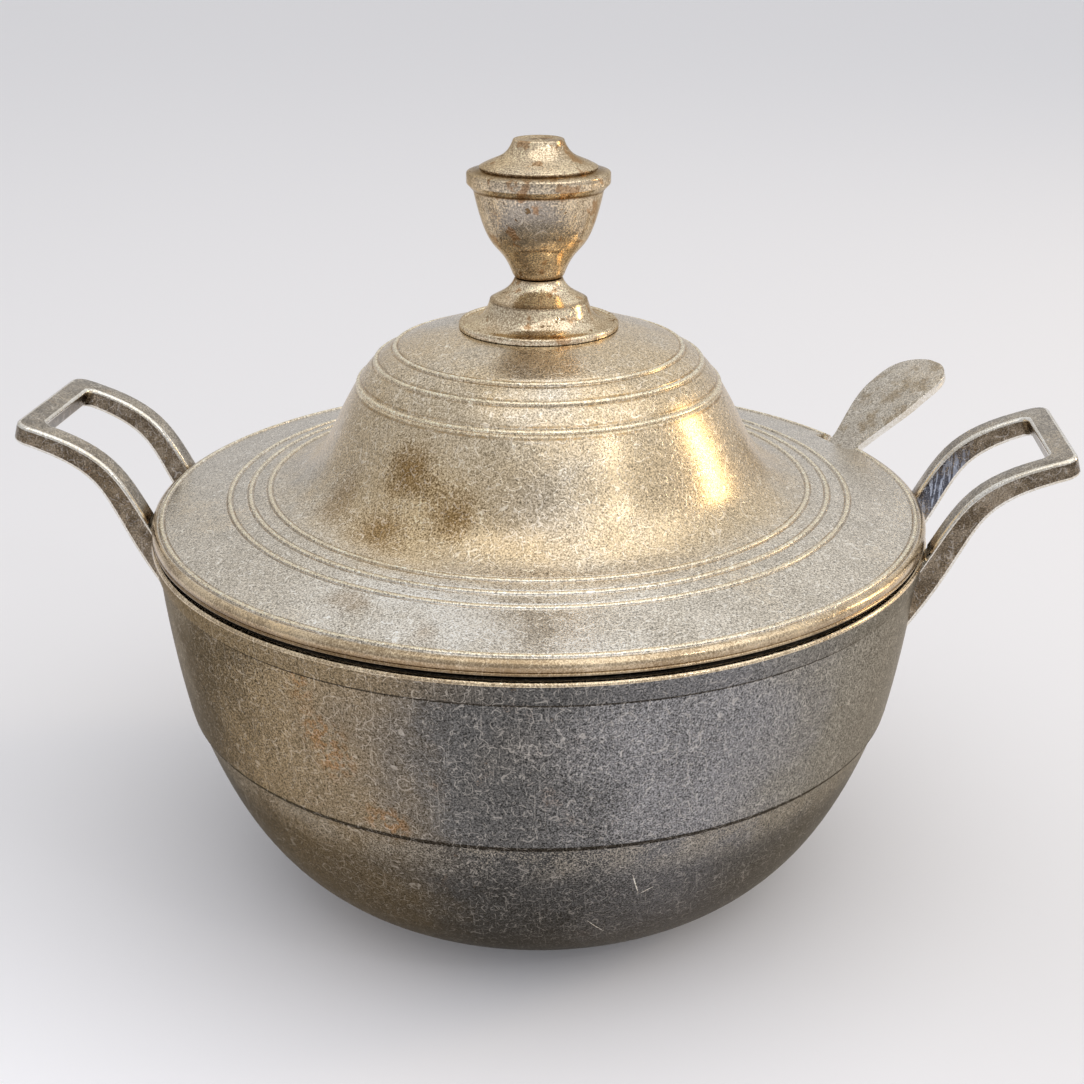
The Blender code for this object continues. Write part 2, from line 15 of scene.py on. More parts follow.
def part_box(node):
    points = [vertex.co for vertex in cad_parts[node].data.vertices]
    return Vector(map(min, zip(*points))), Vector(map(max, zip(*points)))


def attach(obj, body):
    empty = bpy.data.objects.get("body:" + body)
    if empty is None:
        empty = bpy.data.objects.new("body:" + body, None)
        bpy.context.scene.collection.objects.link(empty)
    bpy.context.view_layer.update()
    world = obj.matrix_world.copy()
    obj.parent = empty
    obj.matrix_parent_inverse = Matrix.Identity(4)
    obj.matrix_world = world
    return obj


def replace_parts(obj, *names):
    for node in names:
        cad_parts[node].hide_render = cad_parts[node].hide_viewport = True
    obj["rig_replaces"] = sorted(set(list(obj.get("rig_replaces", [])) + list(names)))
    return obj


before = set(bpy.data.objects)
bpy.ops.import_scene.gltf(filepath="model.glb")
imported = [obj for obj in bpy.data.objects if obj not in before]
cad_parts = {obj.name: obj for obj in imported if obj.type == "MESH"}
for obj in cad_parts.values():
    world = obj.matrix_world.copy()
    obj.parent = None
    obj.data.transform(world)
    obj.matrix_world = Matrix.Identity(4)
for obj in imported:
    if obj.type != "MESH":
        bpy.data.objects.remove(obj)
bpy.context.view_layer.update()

# %% [markdown]
# ## Sizes
# The frame gives the sizes that matter: where the rim, the seam and the knob are. Only the shapes between
# them are written out, in millimetres, because a drawing of a tureen is in millimetres too.

# %% Read the main sizes from the frame
MM = 0.001
GAP = 0.3


def reach(node):
    """Largest radius, lowest and highest point of a turned node, in millimetres."""
    low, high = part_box(node)
    return high.x / MM, low.z / MM, high.z / MM


SEAM_RADIUS, _, LIP_TOP = reach("bowl_lower")
RIM_RADIUS, SKIRT_FOOT, RIM_HEIGHT = reach("bowl_rim_band")
WALL_TOP_RADIUS, WALL_FOOT, WALL_TOP = reach("bowl_wall")
LID_RADIUS, LID_EDGE_FOOT, LID_TOP = reach("lid_shell")
COLLAR_RADIUS, COLLAR_FOOT, _ = reach("lid_collar")
FOOT_RADIUS, FOOT_LOW, FOOT_TOP = reach("finial_base")
URN_RADIUS, URN_LOW, URN_TOP = reach("finial_urn")
print("rim", RIM_RADIUS, RIM_HEIGHT, "lid", LID_RADIUS, LID_TOP, "knob", URN_RADIUS, URN_TOP)

# %% [markdown]
# ## Drawing a section
# Nearly every piece is turned on a lathe, so it is drawn as the section that a turner cuts a template to.
# The section could be a curve object, but a mesh outline can be spun by an operator and takes raised lines
# easily. Small helpers draw it: a smooth run between two points, a rounded corner and a parallel line.

# %% Section helpers
CURVE_POINTS = 40


def spread(first, last, count):
    return [first + (last - first) * i / (count - 1) for i in range(count)]


def toward(slope, length):
    angle = math.radians(slope)
    return length * Vector((math.cos(angle), math.sin(angle)))


def bezier(start, end, leaving, arriving, count=CURVE_POINTS):
    """Points of a run. Where it leaves and arrives, it has a slope in degrees and a pull along it."""
    a = Vector(start)
    d = Vector(end)
    b = a + toward(*leaving)
    c = d - toward(*arriving)
    points = []
    for t in spread(0, 1, count):
        s = 1 - t
        points.append(s**3 * a + 3 * s * s * t * b + 3 * s * t * t * c + t**3 * d)
    return points


def rounded(corner, radius, first, last, count):
    """Points of a round in place of a sharp corner, from one angle to another in degrees."""
    middle = math.radians((first + last) / 2)
    across = corner[0] - math.copysign(radius, math.cos(middle))
    up = corner[1] - math.copysign(radius, math.sin(middle))
    return [Vector((across, up)) + toward(angle, radius) for angle in spread(first, last, count)]


def left_of(points, i):
    """Unit vector to the left of a run at its point i."""
    along = points[min(i + 1, len(points) - 1)] - points[max(i - 1, 0)]
    return Vector((-along.y, along.x)).normalized()


def parallel(points, distance):
    """The run moved sideways to its left, as the inside of an even wall."""
    return [point + distance * left_of(points, i) for i, point in enumerate(points)]


# %% [markdown]
# Raised lines run round the lid. On the lathe each is left standing while the metal beside it is cut away,
# so a fine groove runs along both its feet. They could be bump in the finish, but they show in the outline,
# so they are real: the run is cut at each line and a small half round is put in.

# %% Raised lines on a section
LINE_POINTS = 9
LINE_CLEAR = 1.6
GROOVE_MIDDLE = 1.25
GROOVE_END = 1.55


def lined(run, radii, half_width, height, groove):
    """The run, with a half-round line standing to its right at each of these radii."""
    lengths = [0.0]
    for a, b in zip(run, run[1:]):
        lengths.append(lengths[-1] + (b - a).length)

    def at(distance):
        for i in range(len(run) - 1):
            if distance <= lengths[i + 1]:
                break
        share = (distance - lengths[i]) / (lengths[i + 1] - lengths[i])
        side = -(left_of(run, i).lerp(left_of(run, i + 1), share)).normalized()
        return run[i].lerp(run[i + 1], share), side

    middles = []
    for radius in radii:
        for i in range(len(run) - 1):
            low, high = sorted((run[i].x, run[i + 1].x))
            if low <= radius < high:
                share = (radius - run[i].x) / (run[i + 1].x - run[i].x)
                middles.append(lengths[i] + share * (lengths[i + 1] - lengths[i]))
    marked = []
    for i, point in enumerate(run):
        if all(abs(lengths[i] - middle) > half_width * LINE_CLEAR for middle in middles):
            marked.append((lengths[i], point))
    for middle in middles:
        for i in range(LINE_POINTS):
            turn = math.pi * i / (LINE_POINTS - 1)
            distance = middle - half_width * math.cos(turn)
            point, side = at(distance)
            marked.append((distance, point + side * height * math.sin(turn)))
        for end in (-1, 1):
            distance = middle + end * half_width * GROOVE_MIDDLE
            point, side = at(distance)
            marked.append((distance, point - side * groove))
            distance = middle + end * half_width * GROOVE_END
            marked.append((distance, at(distance)[0]))
    marked.sort(key=lambda mark: mark[0])
    return [point for _, point in marked]


# %% [markdown]
# ## From section to piece
# A single vertex is extruded along the section and spun round the bowl's axis. A Screw modifier would do the
# same, but a spin shows each step and leaves a plain mesh. Spinning leaves doubles at the seam and on the
# axis, so they are merged before the normals are turned outwards.

# %% Lathe helpers
WELD = 1e-6
LARGE_STEPS = 240
SMALL_STEPS = 128
CREASE = math.radians(32)


def fresh(name):
    piece = bpy.context.object
    piece.name = name
    piece.data.name = name
    return piece


def select_none():
    bpy.ops.object.select_all(action="DESELECT")


def start_edit():
    bpy.ops.object.mode_set(mode="EDIT")


def end_edit():
    bpy.ops.object.mode_set(mode="OBJECT")


def pull(by):
    """Extrudes what is selected."""
    bpy.ops.mesh.extrude_region_move(TRANSFORM_OT_translate={"value": by})


def take_all():
    bpy.ops.mesh.select_all(action="SELECT")


def take_by(kind):
    """Sets whether vertices, edges or faces are picked."""
    bpy.ops.mesh.select_mode(type=kind)


def weld():
    """Merges doubles in all of the mesh, and turns its normals outwards."""
    take_all()
    bpy.ops.mesh.remove_doubles(threshold=WELD)
    bpy.ops.mesh.normals_make_consistent(inside=False)


def apply_place():
    bpy.ops.object.transform_apply(location=True, rotation=True, scale=True)


def apply_modifier(piece, kind, **settings):
    modifier = piece.modifiers.new(kind.title(), kind)
    for name, value in settings.items():
        setattr(modifier, name, value)
    bpy.context.view_layer.objects.active = piece
    bpy.ops.object.modifier_apply(modifier=modifier.name)


def smooth(piece):
    select_none()
    piece.select_set(True)
    bpy.context.view_layer.objects.active = piece
    bpy.ops.object.shade_smooth_by_angle(angle=CREASE)


def first_point(name, place):
    """Starts a piece as a single vertex, open for editing."""
    select_none()
    bpy.ops.mesh.primitive_plane_add(size=MM)
    piece = fresh(name)
    start_edit()
    bpy.ops.mesh.merge(type="CENTER")
    bpy.ops.transform.translate(value=place)
    return piece


def lathe(name, outline, steps, closed=True):
    """Draws an outline of (radius, height) in millimetres and spins it into a turned piece."""
    points = [Vector((radius, 0, height)) * MM for radius, height in outline]
    if closed:
        points.append(points[0])
    piece = first_point(name, points[0])
    for here, there in zip(points, points[1:]):
        pull(there - here)
    take_all()
    bpy.ops.mesh.remove_doubles(threshold=WELD)
    bpy.ops.mesh.spin(steps=steps, angle=2 * math.pi, center=(0, 0, 0), axis=(0, 0, 1))
    weld()
    end_edit()
    smooth(piece)
    print(name, len(piece.data.polygons), "faces")
    return piece


def carve(piece, cutter):
    """Cuts a piece with another one, which is used up."""
    apply_modifier(piece, "BOOLEAN", object=cutter, operation="DIFFERENCE", solver="EXACT")
    bpy.data.objects.remove(cutter, do_unlink=True)
    smooth(piece)


def seat(piece, body, slot, *nodes):
    """Puts a piece on its body, in place of the solids that it stands for."""
    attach(piece, body)
    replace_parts(piece, *nodes)


# %% [markdown]
# ## The bowl
# The bowl is made of a spun cup, an upper wall that laps over it at a step, and a rim band. They could be one
# mesh, but the real joints show as fine lines, so each is a piece of its own with a softened edge. The step's
# lower edge is rounded, because it has been wiped and knocked for years and catches the light.

# %% The cup
BOWL_THICKNESS = 2.4
BASE_RADIUS = 45
CUP_RUN = ((0, 43), (74, 40))
SEAM_LAP = 6
LIP_THICKNESS = 1.4
EDGE_ROUND = 0.5
SEAM_HEIGHT = LIP_TOP - SEAM_LAP
SEAM_STEP = 1
WALL_LOW_RADIUS = SEAM_RADIUS + SEAM_STEP
WALL_BOW = 0.8


def wall_radius(height):
    """Outer radius of the upper wall, which bows out a little."""
    t = (height - SEAM_HEIGHT) / (WALL_TOP + GAP - SEAM_HEIGHT)
    return WALL_LOW_RADIUS + (WALL_TOP_RADIUS - WALL_LOW_RADIUS) * t + 4 * WALL_BOW * t * (1 - t)


def wall_bore(height):
    return wall_radius(height) - BOWL_THICKNESS - GAP


cup_outside = bezier((BASE_RADIUS, 0), (SEAM_RADIUS, SEAM_HEIGHT), *CUP_RUN)
cup_inside = parallel(cup_outside, BOWL_THICKNESS)[:-1]
cup_lip = [(wall_bore(z), z) for z in (LIP_TOP, SEAM_HEIGHT)]
cup_lip_inside = [(radius - LIP_THICKNESS, z) for radius, z in reversed(cup_lip)]
cup_edge = rounded((SEAM_RADIUS, SEAM_HEIGHT), EDGE_ROUND, 90, 0, 4)
cup_outline = [(0, BOWL_THICKNESS), *cup_inside, *cup_lip_inside, *cup_lip, *cup_edge]
cup_outline += [*reversed(cup_outside[:-1]), (0, 0)]
cup = lathe("bowl_cup", cup_outline, LARGE_STEPS)
seat(cup, "bowl", "pewter_bowl", "bowl_lower")

# %% The upper wall
WALL_POINTS = 30
wall_heights = spread(WALL_TOP, WALL_FOOT + EDGE_ROUND, WALL_POINTS)
wall_outside = [Vector((wall_radius(z), z)) for z in wall_heights]
wall_foot_edge = rounded((wall_radius(WALL_FOOT), WALL_FOOT), EDGE_ROUND, 0, -90, 5)
wall_inside = [(wall_radius(z) - BOWL_THICKNESS, z) for z in spread(WALL_FOOT, WALL_TOP, WALL_POINTS)]
wall = lathe("bowl_upper_wall", wall_outside[:-1] + wall_foot_edge + wall_inside, LARGE_STEPS)
seat(wall, "bowl", "pewter_bowl", "bowl_wall")

# %% The rim band
BAND_FOOT = WALL_TOP + GAP
BAND_TAPER = 1
RIM_ROUND = 1.2
BAND_EDGE = 0.25
SKIRT_THICKNESS = 1.4
MOUTH_RADIUS = wall_bore(SKIRT_FOOT) - SKIRT_THICKNESS
band_outline = [
    *rounded((RIM_RADIUS, RIM_HEIGHT), RIM_ROUND, 90, 5, 8),
    *rounded((RIM_RADIUS - BAND_TAPER, BAND_FOOT), BAND_EDGE, 0, -90, 4),
    (wall_bore(BAND_FOOT), BAND_FOOT),
    (wall_bore(SKIRT_FOOT), SKIRT_FOOT),
    (MOUTH_RADIUS, SKIRT_FOOT),
    *rounded((MOUTH_RADIUS, RIM_HEIGHT), RIM_ROUND, 180, 90, 8),
]
band = lathe("rim_band", band_outline, LARGE_STEPS)
seat(band, "bowl", "pewter_rim", "bowl_rim_band")

# %% [markdown]
# ## The lid
# The lid is one turned shell: a rolled edge, a nearly flat flange with three raised lines, a flared dome with
# three more, and a flat seat for the knob. A raised line also runs just inside the rolled edge. The dome is
# drawn as two runs that meet at its steepest place, which keeps the flare and the shoulder apart.

# %% The lid's section
LID_EDGE_HEIGHT = 6
LID_EDGE_ROUND = 2.2
LID_EDGE_THICKNESS = 2.6
LID_THICKNESS = 2.2
LID_LIP = 0.45
LID_WAIST = 0.15
LID_WAIST_LIPS = (3.2, 2.2)
FLANGE_SLOPE = 10.5
DOME_ROOT_RADIUS = 86.4
DOME_WAIST = (61, 40)
FLARE_RUN = ((180 - FLANGE_SLOPE, 16), (120, 16))
SHOULDER_RUN = ((120, 12), (171, 28))
SEAT_MARGIN = 1.2
STUD_HOLE = 3.3
FLANGE_LINES = (99.8, 93.2, 87.0)
DOME_LINES = (57.6, 51.8, 45.6)
EDGE_LINE = 121.3
LID_LINES = (*FLANGE_LINES, EDGE_LINE, *DOME_LINES)
LINE_HALF = 0.75
LINE_HEIGHT = 0.5
LINE_GROOVE = 0.12

edge_start = LID_RADIUS - LID_EDGE_ROUND
seat_radius = FOOT_RADIUS - SEAT_MARGIN
lid_seat = LID_TOP - RIM_HEIGHT


def flange_height(radius):
    return LID_EDGE_HEIGHT + (edge_start - radius) * math.tan(math.radians(FLANGE_SLOPE))


flange_run = [Vector((radius, flange_height(radius))) for radius in spread(edge_start, DOME_ROOT_RADIUS, 30)]
dome_flare = bezier(flange_run[-1], DOME_WAIST, *FLARE_RUN)
dome_shoulder = bezier(DOME_WAIST, (seat_radius, lid_seat), *SHOULDER_RUN)
lid_run = flange_run + dome_flare[1:] + dome_shoulder[1:]
lid_under = parallel(dome_flare + dome_shoulder[1:], LID_THICKNESS)
lid_under[-1].y = lid_seat - LID_THICKNESS
lid_top_run = lined(lid_run, LID_LINES, LINE_HALF, LINE_HEIGHT, LINE_GROOVE)
print("lid section:", len(lid_top_run), "points on its upper side")

# %% [markdown]
# ## Where the ladle passes
# A ladle stays in the tureen with the lid on. Its handle is a flat strip with a round paddle at its end. It
# rests on the rim, and the lid's edge has a notch for it, so its line and its width come before the lid is
# cut. The line is two curves that meet on the rim, seen from the side.

# %% The ladle's line and width
LADLE_TURN = 32
LADLE_SLOPE = 26
LADLE_REACH = 36
LADLE_RISE = 30
LADLE_THICKNESS = 2.5
TIP_WIDTH = 27.4
NECK_WIDTH = 13
TANG_WIDTH = 10
PADDLE = 0.39
TIP_FLAT = 0.2
TANG = 8
CUP_RADIUS = 36
CUP_DEPTH = 30
CUP_FLAT = 6
CUP_INSET = 3
CUP_THICKNESS = 1.6
OUTER_RUN = ((199, 25), (180 + LADLE_SLOPE, 8.6), 60)
INNER_RUN = ((180 + LADLE_SLOPE, 30), (-90, 35), 120)
cup_offset = BASE_RADIUS - CUP_FLAT - CUP_INSET
half_thick = LADLE_THICKNESS / 2
rest_x = 2 * MOUTH_RADIUS - math.hypot(MOUTH_RADIUS, NECK_WIDTH / 2)
rest_point = Vector((rest_x, RIM_HEIGHT + GAP + half_thick / math.cos(math.radians(LADLE_SLOPE))))
tip_point = Vector((RIM_RADIUS + LADLE_REACH, RIM_HEIGHT + LADLE_RISE))
tang_x = cup_offset + CUP_RADIUS + GAP + half_thick
cup_rim = BOWL_THICKNESS + GAP + CUP_DEPTH
outer_line = bezier(tip_point, rest_point, *OUTER_RUN)
inner_line = bezier(rest_point, (tang_x, cup_rim), *INNER_RUN)
ladle_line = [*outer_line, *inner_line[1:], Vector((tang_x, cup_rim - TANG))]


def line_length(line):
    return sum((b - a).length for a, b in zip(line, line[1:]))


neck_length = line_length(outer_line)
ladle_length = line_length(ladle_line)
paddle_length = neck_length * PADDLE


def ease(start, end, t):
    t = min(max(t, 0), 1)
    return start + (end - start) * t * t * (3 - 2 * t)


def strip_width(distance):
    width = ease(TIP_WIDTH, NECK_WIDTH, (distance - paddle_length) / (neck_length - paddle_length))
    width = ease(width, TANG_WIDTH, (distance - neck_length) / (ladle_length - neck_length))
    short = max(1 - (distance + TIP_FLAT) / (TIP_WIDTH / 2), 0)
    return width * math.sqrt(1 - short * short)


past_edge = [point for point in outer_line if point.x > LID_RADIUS]
edge_width = strip_width(line_length(past_edge))
print("ladle handle length, mm:", round(ladle_length, 1), "width at the lid's edge:", round(edge_width, 2))

# %% Spin the lid and open its notch
edge_foot = LID_EDGE_FOOT - RIM_HEIGHT
edge_inside = LID_RADIUS - LID_EDGE_THICKNESS
under_edge = flange_height(edge_inside) - LID_THICKNESS
lid_outline = [
    (STUD_HOLE, lid_seat),
    *reversed(lid_top_run),
    *rounded((LID_RADIUS, LID_EDGE_HEIGHT), LID_EDGE_ROUND, 80, 0, 9),
    (LID_RADIUS - LID_WAIST, edge_foot + LID_WAIST_LIPS[0] * LID_LIP),
    (LID_RADIUS - LID_LIP, edge_foot + LID_WAIST_LIPS[1] * LID_LIP),
    *rounded((LID_RADIUS, edge_foot), LID_LIP, 60, -90, 6),
    (edge_inside, edge_foot),
    (edge_inside, under_edge),
    *lid_under,
    (STUD_HOLE, lid_seat - LID_THICKNESS),
]
lid = lathe("lid_cover", [(radius, height + RIM_HEIGHT) for radius, height in lid_outline], LARGE_STEPS)

NOTCH_PLAY = 2
NOTCH_DEPTH = 9
NOTCH_CORNER = 2.5


def let_go(piece):
    """Leaves nothing selected in a mesh."""
    for part in (*piece.data.polygons, *piece.data.edges, *piece.data.vertices):
        part.select = False


def round_edges(piece, wanted, radius, segments):
    """Rounds the edges whose two ends are wanted, and returns their number."""
    let_go(piece)
    for edge in piece.data.edges:
        edge.select = wanted(*[piece.data.vertices[i].co for i in edge.vertices])
    found = sum(edge.select for edge in piece.data.edges)
    start_edit()
    take_by("EDGE")
    bpy.ops.mesh.bevel(offset=radius * MM, segments=segments, affect="EDGES")
    take_by("VERT")
    end_edit()
    return found


def notch_block(depth, corner):
    """An upright block with rounded inner corners, where the ladle's handle passes the edge."""
    width = edge_width + 2 * NOTCH_PLAY
    select_none()
    bpy.ops.mesh.primitive_cube_add(size=MM, location=(LID_RADIUS * MM, 0, RIM_HEIGHT * MM))
    block = fresh("notch_block")
    block.scale = (2 * depth, width, lid_seat)
    apply_place()
    round_edges(block, lambda a, b: abs(a.z - b.z) > MM, corner, 5)
    block.rotation_euler.z = math.radians(LADLE_TURN)
    apply_place()
    return block


carve(lid, notch_block(NOTCH_DEPTH, NOTCH_CORNER))
seat(lid, "lid", "pewter_lid", "lid_shell")
print("lid with its notch:", len(lid.data.polygons), "faces")

# %% [markdown]
# ## The collar under the lid
# The lid is kept from sliding by a collar that drops into the bowl's mouth, with a shoulder that rests on the
# rim. It shows only when the lid is off, and it is open where the ladle passes, so its section is spun whole
# and the gap is cut with the same kind of block.

# %% The collar
COLLAR_PLAY = 0.8
COLLAR_THICKNESS = 2.2
COLLAR_EDGE = 0.5
collar_outer = MOUTH_RADIUS - COLLAR_PLAY
collar_inner = collar_outer - COLLAR_THICKNESS


def collar_top(radius):
    return RIM_HEIGHT + flange_height(radius) - LID_THICKNESS / math.cos(math.radians(FLANGE_SLOPE)) - GAP


collar_outline = [
    (COLLAR_RADIUS, collar_top(COLLAR_RADIUS)),
    (COLLAR_RADIUS, RIM_HEIGHT + GAP),
    (collar_outer, RIM_HEIGHT + GAP),
    *rounded((collar_outer, COLLAR_FOOT), COLLAR_EDGE, 0, -90, 4),
    *rounded((collar_inner, COLLAR_FOOT), COLLAR_EDGE, -90, -180, 4),
    (collar_inner, collar_top(collar_inner)),
]
collar = lathe("lid_seat_collar", collar_outline, LARGE_STEPS)
carve(collar, notch_block(LID_RADIUS - collar_inner + COLLAR_THICKNESS, COLLAR_THICKNESS / 4))
seat(collar, "lid", "pewter_lid", "lid_collar")

# %% [markdown]
# ## The knob
# The knob is an urn on a stepped foot, both turned. The foot's flange has a thin raised lip, its two hollows
# meet at a small shoulder, and the urn's rim stands out over a chamfer. The top is a little dished with a
# point left by the lathe's centre. Small rounds on every corner keep them from looking cut from paper.

# %% The knob's foot
FOOT_FLANGE_THICKNESS = 1.6
FOOT_FLANGE_EDGE = 2.7
FOOT_LIP = 0.9
FOOT_SKIRT = 0.3
FOOT_TIER = (15.3, 8.4)
FOOT_TOP_RADIUS = 7.6
FOOT_FLARE_RUN = ((180, 4.8), (106, 3.3), 20)
FOOT_SHOULDER_RUN = ((150, 3.3), (112, 4), 20)
FOOT_DISH = 0.35
FOOT_NECK = 0.3
FOOT_ROUND = 0.4
foot_flange = FOOT_LOW + FOOT_FLANGE_THICKNESS
foot_tier = (FOOT_TIER[0], FOOT_LOW + FOOT_TIER[1])
foot_flare = bezier((FOOT_RADIUS - FOOT_FLANGE_EDGE, foot_flange - FOOT_DISH), foot_tier, *FOOT_FLARE_RUN)
foot_shoulder = bezier(foot_tier, (FOOT_TOP_RADIUS, FOOT_TOP - FOOT_NECK), *FOOT_SHOULDER_RUN)
foot_outline = [
    (STUD_HOLE, FOOT_TOP),
    *rounded((FOOT_TOP_RADIUS, FOOT_TOP), FOOT_ROUND, 90, 20, 4),
    *reversed(foot_flare + foot_shoulder[1:]),
    *rounded((FOOT_RADIUS, foot_flange), FOOT_LIP, 150, 0, 9),
    (FOOT_RADIUS, FOOT_LOW - FOOT_SKIRT),
    (seat_radius, FOOT_LOW - GAP),
    (seat_radius - FOOT_LIP, FOOT_LOW),
    (STUD_HOLE, FOOT_LOW),
]
knob_foot = lathe("knob_foot", foot_outline, SMALL_STEPS)
seat(knob_foot, "lid", "pewter_finial", "finial_base")

# %% The urn
URN_FOOT_RADIUS = 7.8
URN_BODY_RADIUS = 20.1
URN_BODY_HEIGHT = 26.9
URN_RIM_CHAMFER = 1.7
URN_RIM_HEIGHT = 3.7
URN_RIM_SLANT = 0.7
URN_CAP_RADIUS = 18.2
URN_CAP_STEP = 0.8
URN_TOP_RADIUS = 7.9
URN_ROUND = 0.6
URN_DISH = 0.5
URN_DISH_MARGIN = 2.6
URN_POINT = ((0, 0.1), (0.5, 0.15), (1.1, URN_DISH))
URN_RUN = ((71, 13.5), (78, 22.9))
URN_CAP_RUN = ((150, 6), (112, 6), 24)
URN_NICK = 0.1
URN_STEP = 0.3
URN_FOOT_ROUND = 0.5
STUD_GRIP = 18
urn_neck = URN_LOW + URN_BODY_HEIGHT
urn_rim_low = urn_neck + URN_RIM_CHAMFER
urn_rim_top = urn_rim_low + URN_RIM_HEIGHT
urn_cap_foot = urn_rim_top + URN_RIM_SLANT
urn_cap_low = urn_cap_foot + URN_CAP_STEP
urn_body = bezier((URN_FOOT_RADIUS, URN_LOW), (URN_BODY_RADIUS, urn_neck), *URN_RUN)
urn_cap = bezier((URN_CAP_RADIUS, urn_cap_low), (URN_TOP_RADIUS, URN_TOP - URN_ROUND), *URN_CAP_RUN)
urn_outline = [
    *[(radius, URN_TOP - depth) for radius, depth in URN_POINT],
    (URN_TOP_RADIUS - URN_DISH_MARGIN, URN_TOP - URN_DISH),
    *rounded((URN_TOP_RADIUS, URN_TOP), URN_ROUND, 110, 20, 5),
    *reversed(urn_cap),
    (URN_CAP_RADIUS - URN_NICK, urn_cap_foot + URN_NICK),
    (URN_CAP_RADIUS + URN_STEP, urn_cap_foot - URN_NICK),
    *rounded((URN_RADIUS, urn_rim_top), URN_ROUND, 80, 0, 5),
    *rounded((URN_RADIUS, urn_rim_low), URN_ROUND, 0, -50, 4),
    (URN_BODY_RADIUS + URN_STEP, urn_neck + 2 * URN_NICK),
    *reversed(urn_body[1:]),
    *rounded((URN_FOOT_RADIUS, URN_LOW), URN_FOOT_ROUND, -10, -90, 4),
    (STUD_HOLE, URN_LOW),
    (STUD_HOLE, URN_LOW + STUD_GRIP + GAP),
    (0, URN_LOW + STUD_GRIP + GAP),
]
urn = lathe("knob_urn", urn_outline, SMALL_STEPS, closed=False)
seat(urn, "lid", "pewter_finial", "finial_urn")

# %% [markdown]
# ## The handles
# Each handle is a cast loop of flat bar: two arms rise from the wall, curve outwards and are joined by a
# straight end bar. Half of it is extruded ring by ring along its curve, the bar is pulled out of the inner
# side, and a mirror makes the other half. The bevel gives its faces a second finish, because the edges of the
# real handles are worn bright, and that finish adds a painted highlight to them. The arms start inside the
# wall and are trimmed to it.

# %% Draw half a handle
HANDLE_INSET = 11
HANDLE_DROP = 23
HANDLE_RISE = 30.6
HANDLE_ROOT = (RIM_RADIUS - HANDLE_INSET, RIM_HEIGHT - HANDLE_DROP)
HANDLE_END = (reach("handle_right")[0], RIM_HEIGHT + HANDLE_RISE)
HANDLE_RINGS = 60
RING_STEP = 3
RING_MARGIN = 1
HANDLE_RUN = ((55, 42), (16, 40), HANDLE_RINGS)
ROOT_THICKNESS = 9.2
END_THICKNESS = 6.4
HANDLE_WIDTH = 55
ARM_WIDTH = 8
BAR_WIDTH = 7
HANDLE_CORNER = 5
INNER_CORNER = 3
HANDLE_EDGE = 1.1
HANDLE_CREASE = 40

handle_line = bezier(HANDLE_ROOT, HANDLE_END, *HANDLE_RUN)
arm_middle = (HANDLE_WIDTH - ARM_WIDTH) / 2
bar_start = HANDLE_END[0] - BAR_WIDTH
arm_end = bar_start - INNER_CORNER - RING_MARGIN
arm_rings = [i for i in range(0, HANDLE_RINGS, RING_STEP) if handle_line[i].x < arm_end]
bar_ring = min(range(HANDLE_RINGS), key=lambda i: abs(handle_line[i].x - bar_start))
ring_stops = arm_rings + [bar_ring, HANDLE_RINGS - 1]


def slope_at(i):
    ahead = handle_line[min(i + 1, HANDLE_RINGS - 1)] - handle_line[max(i - 1, 0)]
    return math.atan2(ahead.y, ahead.x)


def thickness_at(i):
    return ROOT_THICKNESS + (END_THICKNESS - ROOT_THICKNESS) * i / (HANDLE_RINGS - 1)


def on_arm(i):
    return Vector((handle_line[i].x, arm_middle, handle_line[i].y)) * MM


select_none()
upright = math.pi / 2 - slope_at(0)
bpy.ops.mesh.primitive_plane_add(size=MM, location=on_arm(0), rotation=(0, upright, 0))
handle = fresh("loop_handle_right")
handle.scale = (ROOT_THICKNESS, ARM_WIDTH, 1)
apply_place()
start_edit()
take_by("FACE")
take_all()
for here, there in zip(ring_stops, ring_stops[1:]):
    pull(on_arm(there) - on_arm(here))
    turn = slope_at(there) - slope_at(here)
    bpy.ops.transform.rotate(value=turn, orient_axis="Y", center_override=on_arm(there))
    thin = thickness_at(there) / thickness_at(here)
    bpy.ops.transform.resize(value=(thin, 1, thin), center_override=on_arm(there))
end_edit()
print("half a handle:", len(handle.data.polygons), "faces on", len(ring_stops), "rings")

# %% Pull out the end bar and round its corners
bar_low = on_arm(bar_ring).x + MM
inner_side = (HANDLE_WIDTH / 2 - ARM_WIDTH) * MM


def two_slots(piece):
    """Room for a finish on the faces and one on the edges."""
    for _ in range(2):
        piece.data.materials.append(None)


def select_faces(piece, wanted):
    let_go(piece)
    for face in piece.data.polygons:
        face.select = wanted(face)
    start_edit()
    take_by("FACE")


select_faces(handle, lambda face: face.normal.y < -0.9 and face.center.x > bar_low)
pull((0, -inner_side, 0))
bpy.ops.mesh.delete(type="FACE")
end_edit()

CORNER_REACH = 1.5
CORNER_PLAY = 0.1


def upright_at(corner):
    """Tells whether an edge runs up the bar's thickness at a corner."""

    def wanted(a, b):
        level = max(abs(a.y - corner.y), abs(b.y - corner.y)) < CORNER_PLAY * MM
        close = ((a + b) / 2 - corner).length < CORNER_REACH * MM
        return level and close and abs((a - b).length - END_THICKNESS * MM) < MM

    return wanted


outer_side = HANDLE_WIDTH / 2 * MM
for ring, side, radius, segments in (
    (HANDLE_RINGS - 1, outer_side, HANDLE_CORNER, 5),
    (bar_ring, inner_side, INNER_CORNER, 4),
):
    corner = on_arm(ring)
    corner.y = side
    print("corner edges found:", round_edges(handle, upright_at(corner), radius, segments))

# %% Mirror, soften and trim the handle


def bare_edges(piece, width, crease):
    """Rounds every edge that is sharper than a crease, and gives the rounds the second finish."""
    apply_modifier(
        piece, "BEVEL", width=width * MM, segments=4, limit_method="ANGLE",
        angle_limit=math.radians(crease), material=1,
    )


